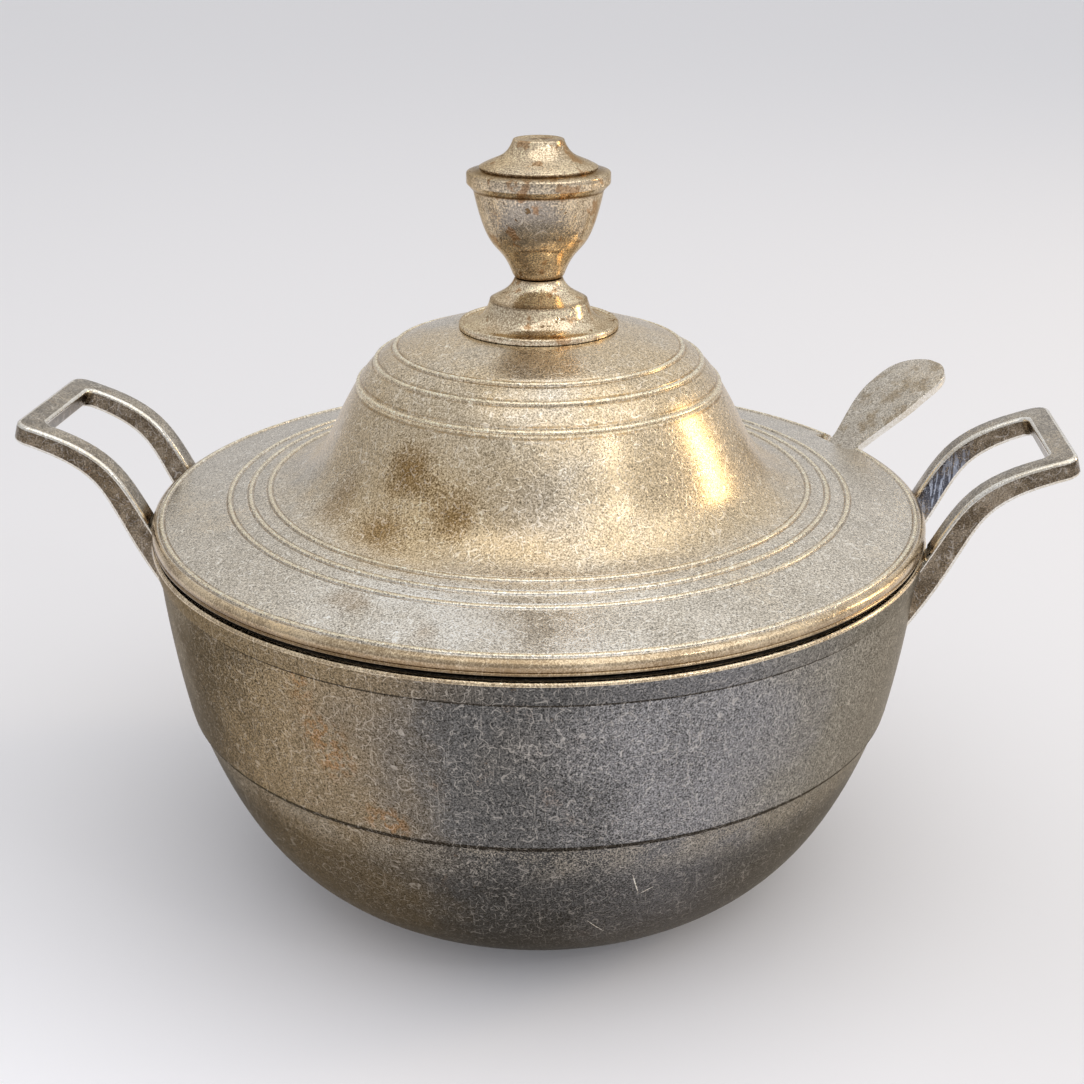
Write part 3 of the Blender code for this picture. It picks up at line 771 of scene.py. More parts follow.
apply_modifier(handle, "MIRROR", use_axis=(False, True, False), merge_threshold=0.01 * MM)
start_edit()
weld()
end_edit()
two_slots(handle)
bare_edges(handle, HANDLE_EDGE, HANDLE_CREASE)
HANDLE_SINK = 1.0
trim_heights = spread(BAND_FOOT, SEAM_HEIGHT, WALL_POINTS)
trim_outline = [
    (0, LID_TOP),
    (RIM_RADIUS + GAP, LID_TOP),
    (RIM_RADIUS + GAP, RIM_HEIGHT),
    (RIM_RADIUS - HANDLE_SINK, RIM_HEIGHT - RIM_ROUND),
    (RIM_RADIUS - BAND_TAPER - HANDLE_SINK, BAND_FOOT),
    *[(wall_radius(z) - HANDLE_SINK, z) for z in trim_heights[1:]],
    (0, SEAM_HEIGHT),
]
carve(handle, lathe("handle_trim", trim_outline, LARGE_STEPS, closed=False))
seat(handle, "bowl", "pewter_handle", "handle_right")
print("handle:", len(handle.data.polygons), "faces")

# %% The second handle
select_none()
handle.select_set(True)
bpy.context.view_layer.objects.active = handle
bpy.ops.object.duplicate()
left_handle = fresh("loop_handle_left")
left_handle.parent = None
left_handle.rotation_euler.z = math.pi
apply_place()
del left_handle["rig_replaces"]
seat(left_handle, "bowl", "pewter_handle", "handle_left")
print("left handle reaches", min(v.co.x for v in left_handle.data.vertices) / MM)

# %% [markdown]
# ## The ladle
# The strip drops from the rim to a round cup on the bottom of the bowl. It could be cut from sheet and bent,
# but here an edge as wide as the strip is extruded along its line and scaled at each stop, then thickened and
# bevelled. It is drawn along X and turned to its place at the end.

# %% Extrude the strip
LADLE_STOPS = 56
ladle_stops = [ladle_length * (1 - math.cos(t * math.pi / 2)) for t in spread(0, 1, LADLE_STOPS)]


def along(line, distance):
    """The point at a distance along a line."""
    for first, second in zip(line, line[1:]):
        step = (second - first).length
        if distance <= step:
            return first.lerp(second, distance / step)
        distance -= step
    return line[-1]


def on_ladle(distance):
    point = along(ladle_line, distance)
    return Vector((point.x, 0, point.y)) * MM


STRIP_SPANS = 4
STRIP_EDGE = 0.7
STRIP_CREASE = 50
start_width = strip_width(ladle_stops[0]) * MM
strip = first_point("ladle_strip", on_ladle(0) - Vector((0, start_width / 2, 0)))
for _ in range(STRIP_SPANS):
    pull((0, start_width / STRIP_SPANS, 0))
take_all()
take_by("EDGE")
for here, there in zip(ladle_stops, ladle_stops[1:]):
    pull(on_ladle(there) - on_ladle(here))
    wider = strip_width(there) / strip_width(here)
    bpy.ops.transform.resize(value=(1, wider, 1), center_override=on_ladle(there))
take_by("VERT")
take_all()
bpy.ops.mesh.normals_make_consistent(inside=False)
end_edit()
two_slots(strip)
apply_modifier(
    strip, "SOLIDIFY", thickness=LADLE_THICKNESS * MM, offset=0, use_even_offset=True, material_offset_rim=1
)
bare_edges(strip, STRIP_EDGE, STRIP_CREASE)
strip.rotation_euler.z = math.radians(LADLE_TURN)
apply_place()
smooth(strip)
seat(strip, "ladle", "pewter_ladle", "ladle_handle")
print("ladle strip:", len(strip.data.polygons), "faces")

# %% The ladle's cup
ladle_outside = bezier((CUP_FLAT, 0), (CUP_RADIUS, CUP_DEPTH), (0, CUP_RADIUS / 2), (90, CUP_DEPTH / 2), 30)
ladle_inside = parallel(ladle_outside, CUP_THICKNESS)
ladle_rim = rounded((CUP_RADIUS, CUP_DEPTH), CUP_THICKNESS / 2, 180, 0, 7)
ladle_outline = [(0, CUP_THICKNESS), *ladle_inside[:-1], *ladle_rim, *reversed(ladle_outside[:-1]), (0, 0)]
ladle_cup = lathe("ladle_bowl", ladle_outline, SMALL_STEPS)
turn_ladle = math.radians(LADLE_TURN)
cup_place = Vector((math.cos(turn_ladle), math.sin(turn_ladle), 0)) * cup_offset * MM
ladle_cup.location = cup_place + Vector((0, 0, (BOWL_THICKNESS + GAP) * MM))
apply_place()
seat(ladle_cup, "ladle", "pewter_ladle", "ladle_cup")

# %% [markdown]
# ## Writing shader maths
# A finish is a long sum of masks, which is hard to read as separate nodes. One small class wraps a socket, so
# that masks are added and multiplied as Python expressions, and one method adds any other node.

# %% A socket that can be added and multiplied


class Wire:
    """One output socket of a material's node tree."""

    def __init__(self, tree, socket=None):
        self.tree = tree
        self.socket = socket

    def node(self, kind, settings=None, inputs=None, output=0):
        """Adds a node, sets it up, fills its sockets and returns one of its outputs."""
        made = self.tree.nodes.new(kind)
        for name, value in (settings or {}).items():
            setattr(made, name, value)
        for name, value in (inputs or {}).items():
            if isinstance(value, Wire):
                self.tree.links.new(value.socket, made.inputs[name])
            else:
                made.inputs[name].default_value = value
        return Wire(self.tree, made.outputs[output]) if made.outputs else made

    def part(self, axis):
        return self.node("ShaderNodeSeparateXYZ", None, {0: self}, axis)

    def math(self, operation, *values):
        return self.node("ShaderNodeMath", {"operation": operation}, dict(enumerate(values)))

    def __add__(self, other):
        return self.math("ADD", self, other)

    __radd__ = __add__

    def __sub__(self, other):
        return self.math("SUBTRACT", self, other)

    def __rsub__(self, other):
        return self.math("SUBTRACT", other, self)

    def __mul__(self, other):
        return self.math("MULTIPLY", self, other)

    __rmul__ = __mul__

    def __truediv__(self, other):
        return self.math("DIVIDE", self, other)

    def __abs__(self):
        return self.math("ABSOLUTE", self)

    def most(self, other):
        return self.math("MAXIMUM", self, other)

    def step(self, low, high):
        """0 below low, 1 above high, and smooth between them. The other way round if low is the larger."""
        turned = low > high
        inputs = {"Value": self, "From Min": min(low, high), "From Max": max(low, high)}
        if turned:
            inputs.update({"To Min": 1.0, "To Max": 0.0})
        return self.node("ShaderNodeMapRange", {"interpolation_type": "SMOOTHSTEP"}, inputs)

    def mixed(self, first, second):
        """The first colour where this mask is 0 and the second where it is 1."""
        colours = {}
        for place, colour in ((6, first), (7, second)):
            colours[place] = colour if isinstance(colour, Wire) else (*colour, 1)
        return self.node("ShaderNodeMix", {"data_type": "RGBA"}, {0: self, **colours}, 2)


print("wires ready")

# %% [markdown]
# ## Marks in the metal
# The skin of old pewter is a fine bright and dark grain, with short curly rubbing marks, a few straight
# scratches and small pits. They could be painted by hand, but maths keeps them sharp at any distance. A curl
# is a piece of a thin ring in a cell of a Voronoi pattern, bent and broken by noise. All of it reads Object
# coordinates, in metres, so a scale of 500 means cells of 2 mm.

# %% Noise, curls, scratches and specks


def cloud(place, scale, detail=3.0, rough=0.55):
    inputs = {"Vector": place, "Scale": scale, "Detail": detail, "Roughness": rough}
    return place.node("ShaderNodeTexNoise", None, inputs)


def vector(operation, first, second, output=0):
    return first.node("ShaderNodeVectorMath", {"operation": operation}, {0: first, 1: second}, output)


def scaled(colour, amount):
    """A colour made lighter or darker by a mask."""
    return colour.node("ShaderNodeVectorMath", {"operation": "SCALE"}, {0: colour, "Scale": amount})


def curls(place, scale):
    """Short thin bent marks."""
    wander = cloud(place, scale * 1.3, 1.0) - 0.5
    inputs = {"Vector": place, "Scale": scale}
    apart = place.node("ShaderNodeTexVoronoi", {"feature": "F1"}, inputs, "Distance")
    ring = abs(apart - 0.47 + wander * 0.6).step(0.034, 0.012)
    elsewhere = vector("ADD", place, (0.3, 0.1, 0.7))
    return ring * cloud(elsewhere, scale * 2.6, 0.0).step(0.50, 0.57)


def hairlines(place, turn, spacing, length, amount):
    """Straight fine scratches that all run one way."""
    inputs = {"Vector": place, "Rotation": turn, "Scale": (spacing, length, length)}
    stretched = place.node("ShaderNodeMapping", {"vector_type": "POINT"}, inputs)
    return cloud(stretched, 1.0, 2.0, 0.6).step(amount, amount + 0.05)


def specks(place, scale, amount):
    """Small ragged spots. A larger amount leaves fewer."""
    elsewhere = vector("ADD", place, (0.5, 0.8, 0.1))
    return cloud(elsewhere, scale, 3.0, 0.6).step(amount, amount + 0.05)


print("marks ready")

# %% [markdown]
# Some marks have a place: a stain on the dome, a scratch on the bowl's front, the grime along a joint. They
# are masks of the distance to a point, a line, the axis or a height, with their edges made ragged by noise.

# %% Masks with a place


def along_axis(place, axis):
    """The X, Y or Z place of a point, in millimetres."""
    return place.part(axis) / MM


def ring_of(place):
    """Distance from the bowl's axis, in millimetres."""
    return vector("LENGTH", vector("MULTIPLY", place, (1, 1, 0)), (0, 0, 0), "Value") / MM


def stain(place, centre, size, ragged, edge=0.2):
    """A spot round a point, with a ragged edge. Sizes in millimetres."""
    apart = vector("DISTANCE", place, Vector(centre) * MM, "Value")
    return (apart / (size * MM) + (ragged - 0.5) * 1.7).step(1.0, edge)


def scratch(place, start, end, width):
    """A straight scratch between two points on the bowl: a long thin spot, deep enough for its curve."""
    run = Vector(end) - Vector(start)
    middle = Vector(start) + run / 2
    forward = run.normalized()
    sideways = (middle - Vector((0, 0, RIM_HEIGHT))).cross(forward).normalized()
    turn = Matrix((forward, sideways, forward.cross(sideways))).transposed()
    inputs = {
        "Vector": place,
        "Location": middle * MM,
        "Rotation": turn.to_euler(),
        "Scale": Vector((run.length / 2, width / 2, run.length / 4)) * MM,
    }
    stretched = place.node("ShaderNodeMapping", {"vector_type": "TEXTURE"}, inputs)
    return vector("LENGTH", stretched, (0, 0, 0), "Value").step(1.0, 0.6)


def most_of(masks):
    top = masks[0]
    for mask in masks[1:]:
        top = top.most(mask)
    return top


print("masks ready")

# %% [markdown]
# ## The pewter
# Every piece is the same metal in a different state, so one function builds the finish and each piece says
# how much of everything it has. It could be one material for the whole tureen, but the bowl is dark from use
# where the lid is pale. Marks that belong to one piece come from a small function of its own, which gets the
# colour so far and returns it changed.

# %% What all pewter shares
WARMTH = (1.08, 0.90, 0.62)
TOBACCO = (0.20, 0.115, 0.045)
RUST = (0.36, 0.17, 0.05)
# Near black, used as painted shade in gaps and under edges.
PAINTED_SHADE = (0.035, 0.028, 0.02)
SHINE = (0.95, 0.88, 0.76)


def metal_skin(place):
    """The fields that all pewter shares."""
    straight = hairlines(place, (0.4, 0.2, 0.9), 1500.0, 60.0, 0.66)
    straight = straight.most(hairlines(place, (0.1, 1.1, -0.5), 1300.0, 45.0, 0.67))
    grain = cloud(place, 2000.0, 1.0) - 0.5
    blotch = cloud(place, 60.0, 5.0, 0.62)
    return {
        "broad": cloud(place, 16.0, 2.0),
        "blotch": blotch,
        "ragged": blotch + grain * 0.7,
        "grain": grain,
        "curl": curls(place, 165.0).most(curls(place, 250.0)).most(curls(place, 370.0)),
        "glint": specks(place, 900.0, 0.67),
        "straight": straight,
    }


# %% The pewter finish


def start_tree(owner, coordinates):
    """Empties the nodes of a material or a world, and returns the place that the new ones read."""
    owner.use_nodes = True
    owner.node_tree.nodes.clear()
    return Wire(owner.node_tree).node("ShaderNodeTexCoord", None, None, coordinates)


def end_tree(place, shader):
    """Ends a material with one shader."""
    surface = place.node("ShaderNodeBsdfPrincipled", None, shader)
    place.node("ShaderNodeOutputMaterial", None, {"Surface": surface})


def pewter(name, light, dark, own=None, glancing=(1, 1, 1), *, gold, rust, relief, pit, rough):
    """A pewter finish. gold, rust and pit say how much of each it has, relief how strong its marks are and
    glancing how bright it is in them and where it turns away."""
    material = bpy.data.materials.new(name)
    place = start_tree(material, "Object")
    skin = metal_skin(place)
    ragged = skin["ragged"]
    colour = ragged.step(0.30, 0.70).mixed(dark, light)
    yellow = (skin["broad"] + (ragged - 0.5) * 0.6).step(0.66 - 0.34 * gold, 0.90 - 0.34 * gold)
    colour = (yellow * gold).mixed(colour, vector("MULTIPLY", colour, WARMTH))
    elsewhere = vector("ADD", place, (0.2, 0.9, 0.4))
    brown = cloud(elsewhere, 90.0, 5.0, 0.7) + skin["grain"] * 0.4
    brown = brown.step(0.66 - 0.10 * rust, 0.80 - 0.10 * rust) * rust
    colour = (brown * 0.75).mixed(colour, RUST)
    if own:
        colour = own(place, skin, colour)
    # The marks lighten the colour and pull it towards the glancing colour: partly their own rubbed metal,
    # partly painted glints of light off them.
    marks = skin["curl"] * 0.7 + skin["straight"] * 0.4 + skin["glint"] * 0.7
    colour = scaled(colour, (0.86 + (marks * 0.6 + skin["grain"] * 2.8) * relief).most(0.15))
    colour = (marks * (relief * 0.4)).mixed(colour, glancing)
    holes = specks(place, 330.0, 0.74 - 0.09 * pit) * pit
    colour = (holes * 0.85).mixed(colour, TOBACCO)
    polish = rough + (ragged - 0.5) * 0.16 + brown * 0.15 + holes * 0.2
    height = (skin["blotch"] - 0.5) * 0.00008 + skin["curl"] * 0.00002 + skin["grain"] * 0.00002
    height = height - holes * 0.00016
    bump = place.node("ShaderNodeBump", None, {"Strength": 1.0, "Distance": 1.0, "Height": height})
    shader = {"Base Color": colour, "Metallic": 1.0, "Roughness": polish, "Normal": bump}
    shader["Specular Tint"] = (*glancing, 1)
    end_tree(place, shader)
    print(name, len(material.node_tree.nodes), "nodes")
    return material


def dress(piece, *materials):
    """Fills a piece's slots in order, and keeps which face uses which slot."""
    slots = piece.data.materials
    for index, material in enumerate(materials):
        if index < len(slots):
            slots[index] = material
        else:
            slots.append(material)


def second_finish(piece, wanted):
    """Gives the second finish to the faces whose middle, in millimetres, is in a wanted place."""
    count = 0
    for face in piece.data.polygons:
        middle = face.center / MM
        face.material_index = int(wanted(math.hypot(middle.x, middle.y), middle.z))
        count += face.material_index
    print(piece.name, "faces with the second finish:", count)


# %% [markdown]
# ## The bowl's finish
# The bowl is the darkest piece. Its left side is golden grey, its right side a cold grey that warms towards
# the handle, and painted shade makes the cup under the step darker than the wall, most at the sides. Painted
# shadow lines run along the step and under the rim band. Just under the step the cup is lightened in patches,
# wear with a painted highlight, and a painted streak of reflected light runs up the left of the wall. A few
# rust spots lie high on the left, and white scratches cross the lower front.

# %% Dress the bowl
BOWL_LIGHT = (0.140, 0.136, 0.130)
BOWL_DARK = (0.110, 0.107, 0.102)
BOWL_STRAW = (0.365, 0.272, 0.156)
BOWL_OLIVE = (0.13, 0.103, 0.07)
BOWL_COLD = (0.32, 0.314, 0.317)
BOWL_WARM = (0.33, 0.305, 0.25)
BOWL_GLANCING = (0.62, 0.57, 0.50)
BOWL_WORN_AND_SHEEN = (0.40, 0.35, 0.27)
BOWL_ZONES = (
    (-5, -60, 0.9, BOWL_STRAW),
    (-56, -92, 0.9, BOWL_OLIVE),
    (12, 60, 0.9, BOWL_COLD),
    (58, 100, 0.85, BOWL_WARM),
)
BOWL_SPOTS = (((-54, -110, 114), 9), ((-49, -111, 101), 12), ((-45, -112, 92), 9), ((-30, -113, 74), 9))
BOWL_SCRATCHES = (
    ((24, -100.8, 37.2), (29.5, -93.7, 28.4)),
    ((37.5, -105.4, 57), (39.3, -100.7, 46.9)),
    ((39.3, -100.7, 46.9), (44.1, -100, 49.5)),
)


def zoned(across, zones, colour):
    """Each zone starts at one place across the bowl, and is full at the next."""
    for start, full, strength, tint in zones:
        colour = (across.step(start, full) * strength).mixed(colour, tint)
    return colour


def bowl_marks(place, skin, colour):
    height = along_axis(place, "Z")
    across = along_axis(place, "X") + (skin["broad"] - 0.5) * 50 + (skin["ragged"] - 0.5) * 40
    colour = zoned(across, BOWL_ZONES, colour)
    # Painted shade: the cup under the step is darkened, most at the sides.
    below = height.step(70, 50)
    colour = scaled(colour, 1 - below * (0.34 + 0.2 * abs(across).step(20, 80)))
    # Patches just under the step are lightened: wear with a painted highlight where the cup's top catches the
    # light.
    worn_and_lit = height.step(52, 67) * height.step(SEAM_HEIGHT + 0.3, SEAM_HEIGHT - 0.4)
    worn_and_lit = worn_and_lit * (skin["ragged"] + (skin["broad"] - 0.5) * 0.8).step(0.44, 0.62)
    colour = (worn_and_lit * 0.55).mixed(colour, BOWL_WORN_AND_SHEEN)
    # A painted streak of reflected light runs up the left of the wall.
    streak = abs(across + 104).step(8, 2) * height.step(75, 100)
    colour = (streak * 0.5).mixed(colour, BOWL_WORN_AND_SHEEN)
    spots = most_of([stain(place, centre, size, skin["ragged"]) for centre, size in BOWL_SPOTS])
    spots = spots * specks(place, 420.0, 0.48)
    colour = (spots * 0.5).mixed(colour, RUST)
    # Painted shadow: dark lines under the wall's lower edge at the step and under the rim band.
    seam = abs(height - (SEAM_HEIGHT + 0.35)).step(1.25, 0.75)
    rim_line = height.step(WALL_TOP - 0.6, WALL_TOP - 0.3)
    colour = (seam.most(rim_line) * 0.92).mixed(colour, PAINTED_SHADE)
    white = most_of([scratch(place, start, end, 0.45) for start, end in BOWL_SCRATCHES])
    return (white * 0.9).mixed(colour, SHINE)


bowl_pewter = pewter(
    "bowl_pewter", BOWL_LIGHT, BOWL_DARK, bowl_marks, BOWL_GLANCING,
    gold=0.25, rust=0.25, relief=1.1, pit=0.35, rough=0.36,
)
dress(cup, bowl_pewter)
dress(wall, bowl_pewter)

# %% The rim band's finish
BAND_SHINE = (0.92, 0.76, 0.54)
BAND_DULL = (0.55, 0.42, 0.27)
BAND_ZONES = ((15, -60, 0.9, BOWL_STRAW), (12, 60, 0.8, BOWL_COLD), (58, 100, 0.85, BOWL_WARM))


def band_marks(place, skin, colour):
    across = along_axis(place, "X") + (skin["broad"] - 0.5) * 60
    height = along_axis(place, "Z")
    colour = zoned(across, BAND_ZONES, colour)
    colour = scaled(colour, 0.82)
    # Painted shadow along the foot of the band.
    return (height.step(BAND_FOOT + 0.35, BAND_FOOT + 0.1) * 0.85).mixed(colour, PAINTED_SHADE)


def rim_top_shade(place, skin, colour):
    # Painted shade on the inner part of the rim's top, under the lid's edge.
    shade_under_lid = ring_of(place).step(RIM_RADIUS - 1.2, RIM_RADIUS - 2.2)
    return shade_under_lid.mixed(colour, PAINTED_SHADE)


rim_pewter = pewter(
    "rim_pewter", BOWL_LIGHT, BOWL_DARK, band_marks, BOWL_GLANCING,
    gold=0.35, rust=0.35, relief=1.0, pit=0.4, rough=0.34,
)
# The rim's top is worn bright, and its inner part carries painted shade.
rim_worn_and_shade_pewter = pewter(
    "rim_worn_and_shade_pewter", BAND_SHINE, BAND_DULL, rim_top_shade,
    gold=0.4, rust=0.4, relief=0.4, pit=0.3, rough=0.20,
)
second_finish(band, lambda radius, height: height > RIM_HEIGHT - 1.3)
dress(band, rim_pewter, rim_worn_and_shade_pewter)

# %% [markdown]
# ## The lid's finish
# The flange is a pale warm grey, and a painted reflection lightens its front. The dome is more golden, with
# brown stains at its front left and a faint painted shade over its front. The crests of the raised lines are
# rubbed bright and carry a painted highlight, and brown grime with painted shade lies at their feet. The
# rolled edge is smoother than the rest, because it is turned and not rubbed, so its faces get a finish of
# their own, with painted shade over their lower part and a painted shadow at their foot.

# %% Dress the lid
LID_LIGHT = (0.74, 0.67, 0.565)
LID_DARK = (0.61, 0.548, 0.452)
DOME_GOLD = (0.70, 0.54, 0.33)
DOME_STRAW = (0.90, 0.68, 0.395)
STAIN_AND_SHADE = (0.34, 0.20, 0.065)
# Near white of a painted reflection on the flange's front.
LID_FRONT_SHEEN = (0.97, 0.93, 0.86)
LINE_SHINE = (0.98, 0.83, 0.60)
LID_STAINS_AND_SHADE = (
    ((-31.9, -56.3, 158), 13, 0.9),
    ((-39.8, -64.6, 142), 13, 0.8),
    ((-18.5, -68.1, 147), 12, 0.85),
    ((-55, -48, 145), 12, 0.45),
    # This spot is no stain but painted shade over the front of the dome.
    ((2, -70, 147), 26, 0.18),
    ((-42, -97, 134), 8, 0.35),
    ((-19, -113, 132), 6, 0.3),
)


def lid_marks(place, skin, colour):
    ring = ring_of(place)
    uneven = skin["broad"] + (skin["blotch"] - 0.5) * 0.6
    # The front of the flange is lightened in patches: a painted reflection.
    front = along_axis(place, "Y").step(-74, -92) * abs(along_axis(place, "X")).step(75, 15)
    colour = (front * uneven.step(0.2, 0.55) * 0.8).mixed(colour, LID_FRONT_SHEEN)
    colour = (ring.step(94, 76) * uneven.step(0.20, 0.58) * 0.8).mixed(colour, DOME_GOLD)
    straw = stain(place, (-28, -64, 150), 38, skin["ragged"], -0.4)
    colour = (straw * 0.85).mixed(colour, DOME_STRAW)
    for centre, size, strength in LID_STAINS_AND_SHADE:
        spot = stain(place, centre, size, skin["ragged"], 0.1)
        colour = (spot * strength).mixed(colour, STAIN_AND_SHADE)
    # The crests of the lines are lightened, wear with a painted highlight, and their feet darkened, grime
    # with painted shade.
    crests = []
    feet = []
    for radius in LID_LINES:
        apart = abs(ring - radius) / LINE_HALF
        crests.append(apart.step(0.95, 0.5))
        feet.append(abs(apart - 1.3).step(0.4, 0.1))
    colour = (most_of(feet) * (0.2 + 0.6 * skin["ragged"].step(0.45, 0.65))).mixed(colour, STAIN_AND_SHADE)
    return (most_of(crests) * 0.9).mixed(colour, LINE_SHINE)


EDGE_LIGHT = (0.86, 0.70, 0.485)
EDGE_DARK = (0.46, 0.34, 0.21)


def edge_marks(place, skin, colour):
    height = along_axis(place, "Z")
    across = along_axis(place, "X")
    # Painted shade: the lower part of the rolled edge is darkened, more on the left, and its foot is
    # blackened as a painted shadow.
    lower_shade = height.step(LID_EDGE_FOOT + 3.2, LID_EDGE_FOOT + 1.6) * (0.4 + 0.35 * across.step(40, -60))
    colour = lower_shade.mixed(colour, TOBACCO)
    return height.step(LID_EDGE_FOOT + 0.5, LID_EDGE_FOOT + 0.2).mixed(colour, PAINTED_SHADE)


lid_pewter = pewter(
    "lid_pewter", LID_LIGHT, LID_DARK, lid_marks,
    gold=0.3, rust=0.15, relief=0.8, pit=0.25, rough=0.27,
)
lid_edge_pewter = pewter(
    "lid_edge_pewter", EDGE_LIGHT, EDGE_DARK, edge_marks,
    gold=0.4, rust=0.25, relief=0.2, pit=0.3, rough=0.2,
)
inside_pewter = pewter(
    "inside_pewter", LID_LIGHT, LID_DARK,
    gold=0.4, rust=0.3, relief=0.4, pit=0.2, rough=0.44,
)
second_finish(lid, lambda radius, height: radius > edge_start + 0.4)
dress(lid, lid_pewter, lid_edge_pewter)
dress(collar, inside_pewter)

# %% [markdown]
# ## The knob's finish
# The knob is what the hand takes, so it is the smoothest and most golden piece, with rust spots, brown grime
# in its hollows and the deepest pits. A painted dark reflection, a colder grey, lies on the front of the urn,
# and a painted highlight makes its cap and foot a little brighter.

# %% Dress the knob
KNOB_LIGHT = (0.85, 0.73, 0.56)
KNOB_DARK = (0.50, 0.385, 0.25)
KNOB_DARK_REFLECTION = (0.30, 0.285, 0.27)
KNOB_GLANCING = (0.76, 0.68, 0.56)
KNOB_HOLLOWS = (
    (URN_LOW, 1.6, 0.3, 0.8),
    (urn_cap_foot, 0.7, 0.2, 0.8),
    (foot_tier[1], 0.8, 0.2, 0.56),
    (urn_neck + 2 * URN_NICK, 0.8, 0.2, 0.8),
)


def knob_marks(place, skin, colour):
    height = along_axis(place, "Z")
    # A painted dark reflection, a colder grey, on the front of the urn.
    dark_reflection = stain(place, (-2, -17, urn_neck - 7), 18, skin["ragged"])
    colour = (dark_reflection * 0.7).mixed(colour, KNOB_DARK_REFLECTION)
    spots = specks(place, 130.0, 0.58)
    colour = (spots * 0.6).mixed(colour, RUST)
    # A painted highlight lightens the foot and the cap.
    sky_sheen = height.step(URN_LOW, URN_LOW - 2) * 0.22 + height.step(urn_cap_foot, urn_cap_foot + 1) * 0.14
    colour = scaled(colour, 1 + sky_sheen)
    hollows = [abs(height - level).step(out, full) * depth for level, out, full, depth in KNOB_HOLLOWS]
    return most_of(hollows).mixed(colour, TOBACCO)


knob_pewter = pewter(
    "knob_pewter", KNOB_LIGHT, KNOB_DARK, knob_marks, KNOB_GLANCING,
    gold=0.5, rust=0.5, relief=0.5, pit=1.0, rough=0.17,
)
dress(knob_foot, knob_pewter)
dress(urn, knob_pewter)

# %% [markdown]
# ## The handles' and the ladle's finish
# The handles are pale on top, dull on their sides and darkened there by painted shade, and bright along their
# edges, where hands and cloths have worn them, with a painted highlight on that wear. On the inside of the
# right handle's far arm the metal is filed bare, a cold grey with coarse strokes. The ladle is paler and
# mottled with brown.

# %% Dress the handles
HANDLE_LIGHT = (0.50, 0.44, 0.355)
HANDLE_DARK = (0.26, 0.22, 0.17)
HANDLE_SHADE = (0.42, 0.365, 0.30)
EDGE_BRIGHT = (0.98, 0.95, 0.89)
EDGE_WORN_AND_LIT = (0.82, 0.74, 0.61)
FILED = (0.42, 0.46, 0.55)
FILED_DEEP = (0.085, 0.095, 0.125)


def handle_marks(place, skin, colour):
    facing = place.node("ShaderNodeNewGeometry", None, None, "Normal")
    upward = facing.part("Z") + (skin["blotch"] - 0.5) * 0.3
    mottle = cloud(place, 210.0, 3.0, 0.6).step(0.38, 0.62)
    colour = scaled(colour, 0.86 + 0.26 * mottle)
    # Painted shade: faces that turn away from the top are darkened.
    side = upward.step(0.5, 0.15) * (1 - 0.3 * mottle)
    colour = (side * 0.95).mixed(colour, vector("MULTIPLY", colour, HANDLE_SHADE))
    spot = stain(place, (132, 19.5, 131), 17, skin["ragged"])
    filed = spot * abs(along_axis(place, "Y") - 19.5).step(0.8, 0.4)
    strokes = hairlines(place, (0.0, 0.95, 0.0), 900.0, 110.0, 0.5)
    colour = (filed * 0.9).mixed(colour, FILED_DEEP)
    return (filed * strokes).mixed(colour, FILED)


handle_face = pewter(
    "handle_face_pewter", HANDLE_LIGHT, HANDLE_DARK, handle_marks,
    gold=0.35, rust=0.5, relief=0.5, pit=0.6, rough=0.24,
)
# The edges are worn metal, with a painted highlight in their near white colours.
handle_edge = pewter(
    "handle_edge_pewter", EDGE_BRIGHT, EDGE_WORN_AND_LIT,
    gold=0.15, rust=0.2, relief=0.2, pit=0.2, rough=0.14,
)
for loop in (handle, left_handle):
    dress(loop, handle_face, handle_edge)

# %% Dress the ladle
LADLE_LIGHT = (0.68, 0.62, 0.53)
LADLE_DARK = (0.55, 0.49, 0.41)
LADLE_BROWN = (0.40, 0.31, 0.20)


def ladle_marks(place, skin, colour):
    mottle = cloud(place, 170.0, 4.0, 0.65).step(0.46, 0.66)
    return (mottle * 0.75).mixed(colour, LADLE_BROWN)


ladle_face = pewter(
    "ladle_face_pewter", LADLE_LIGHT, LADLE_DARK, ladle_marks,
    gold=0.35, rust=0.4, relief=0.6, pit=0.5, rough=0.26,
)
# The ladle's edges are worn metal, with a painted highlight in their near white colours.
ladle_edge = pewter(
    "ladle_edge_pewter", EDGE_BRIGHT, EDGE_WORN_AND_LIT,
    gold=0.05, rust=0.05, relief=0.15, pit=0.1, rough=0.14,
)
dress(strip, ladle_face, ladle_edge)
dress(ladle_cup, inside_pewter)

# %% [markdown]
# The stud, washer and nut that hold the knob are plain steel under the lid. Their solids already have the
# right shape, so they stay and only get a finish.

# %% The fixing
STEEL_LIGHT = (0.62, 0.62, 0.61)
STEEL_DARK = (0.48, 0.48, 0.48)
fixing_steel = pewter(
    "fixing_steel", STEEL_LIGHT, STEEL_DARK,
    gold=0.1, rust=0.35, relief=0.4, pit=0.4, rough=0.34,
)
for node in ("finial_stud", "finial_washer", "finial_nut"):
    dress(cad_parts[node], fixing_steel)

# %% [markdown]
# ## The room
# The tureen stands on a pale floor with a painted pool of light in front of it, which also glows. Metal shows
# what is round it, so the room is as much of the finish as the nodes are: bright above, dimmer low down, and
# a warm window to the right that leaves a streak on the dome.

# %% Floor and world
select_none()
bpy.ops.mesh.primitive_plane_add(size=16)
floor = fresh("floor")
FLOOR_COLOUR = (0.84, 0.835, 0.865)
FLOOR_FRONT = (0.93, 0.925, 0.97)
LIGHT_POOL = (-60, -330, 0)
LIGHT_POOL_RADII = (400, 80)
floor_paint = bpy.data.materials.new("floor_paint")
floor_place = start_tree(floor_paint, "Object")
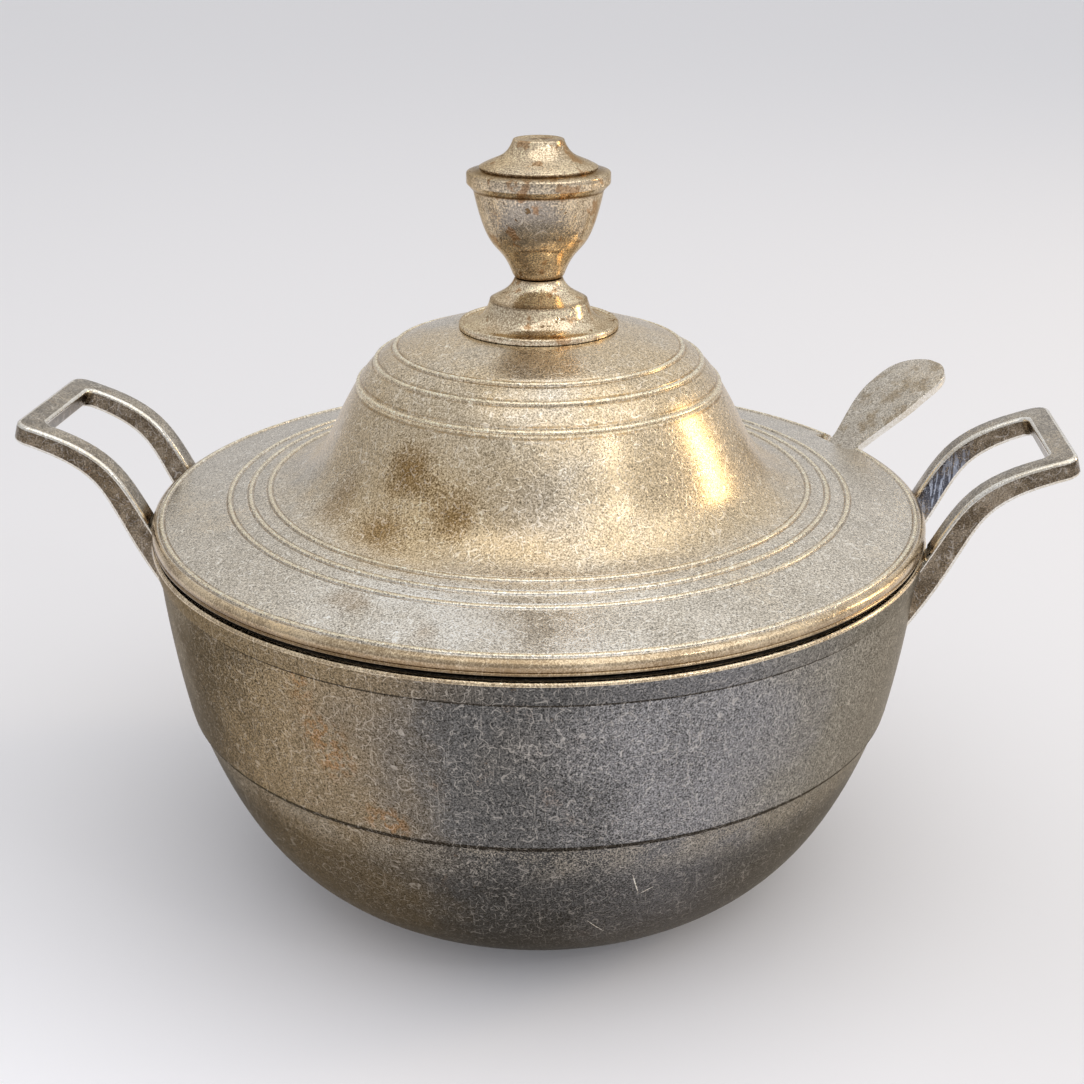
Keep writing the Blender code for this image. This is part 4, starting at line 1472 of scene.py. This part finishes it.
# A painted pool of light on the floor in front of the tureen: lighter there and glowing.
from_light_pool = vector("DISTANCE", floor_place, Vector(LIGHT_POOL) * MM, "Value") / MM
light_pool = from_light_pool.step(*LIGHT_POOL_RADII)
floor_look = {
    "Base Color": light_pool.mixed(FLOOR_COLOUR, FLOOR_FRONT),
    "Roughness": 0.7,
    "Specular IOR Level": 0.2,
    "Emission Color": light_pool.mixed((0, 0, 0), FLOOR_FRONT),
    "Emission Strength": 0.2,
}
end_tree(floor_place, floor_look)
dress(floor, floor_paint)

world = bpy.data.worlds.new("studio")
bpy.context.scene.world = world
SKY_LOW = (0.66, 0.66, 0.68)
SKY_HIGH = (0.95, 0.95, 0.95)
sky = start_tree(world, "Generated")
sky_colour = sky.part("Z").step(-0.1, 0.75).mixed(SKY_LOW, SKY_HIGH)
sky_colour = scaled(sky_colour, 1.0 + sky.part("Y") * 0.12 + sky.part("X") * 0.2)
backdrop = sky.node("ShaderNodeBackground", None, {"Color": sky_colour, "Strength": 0.84})
sky.node("ShaderNodeOutputWorld", None, {"Surface": backdrop})
print("room ready")

# %% Lamps


def softbox(name, place, aim, size, power, colour):
    bpy.ops.object.light_add(type="AREA", location=place)
    lamp = fresh(name)
    lamp.data.shape = "RECTANGLE"
    lamp.data.size, lamp.data.size_y = size
    lamp.data.energy = power
    lamp.data.color = colour
    lamp.rotation_euler = (Vector(aim) - Vector(place)).to_track_quat("-Z", "Y").to_euler()
    print(name, power, "W")


OVERHEAD = (1.0, 0.985, 0.96)
WINDOW = (1.0, 0.76, 0.43)
softbox("overhead_softbox", (0.5, -0.5, 1.9), (0, -0.2, 0), (2.4, 2.4), 12, OVERHEAD)
softbox("front_lamp", (1.15, -0.93, 1.15), (0, 0, 0.15), (0.10, 0.10), 0.7, OVERHEAD)
softbox("right_window", (1.75, 0.6, 0.65), (0, 0, 0.15), (0.28, 0.7), 5.5, WINDOW)

# %% [markdown]
# ## The camera
# The photograph is a square frame from a little over half a metre away, looking down on the tureen and a
# few degrees from its right. The lens comes from the frame's width in pixels and the fitted focal length.

# %% Camera
FRAME_PIXELS = 1084
FOCAL_PIXELS = 1600
SENSOR = 36
CAMERA_DISTANCE = 0.494
CAMERA_OVER_RIM = 0.189
CAMERA_HEIGHT = RIM_HEIGHT * MM + CAMERA_OVER_RIM
CAMERA_SIDE = math.radians(6)
CAMERA_PITCH = math.radians(22.05)
CAMERA_YAW = math.radians(-0.12)
place = (CAMERA_DISTANCE * math.sin(CAMERA_SIDE), -CAMERA_DISTANCE * math.cos(CAMERA_SIDE), CAMERA_HEIGHT)
bpy.ops.object.camera_add(location=place, rotation=(math.pi / 2 - CAMERA_PITCH, 0, CAMERA_SIDE + CAMERA_YAW))
camera = bpy.context.object
camera.data.sensor_width = SENSOR
camera.data.lens = SENSOR * FOCAL_PIXELS / FRAME_PIXELS
camera.data.clip_start = 0.01
bpy.context.scene.camera = camera
bpy.context.scene.view_settings.view_transform = "Standard"
print("lens, mm:", round(camera.data.lens, 2))
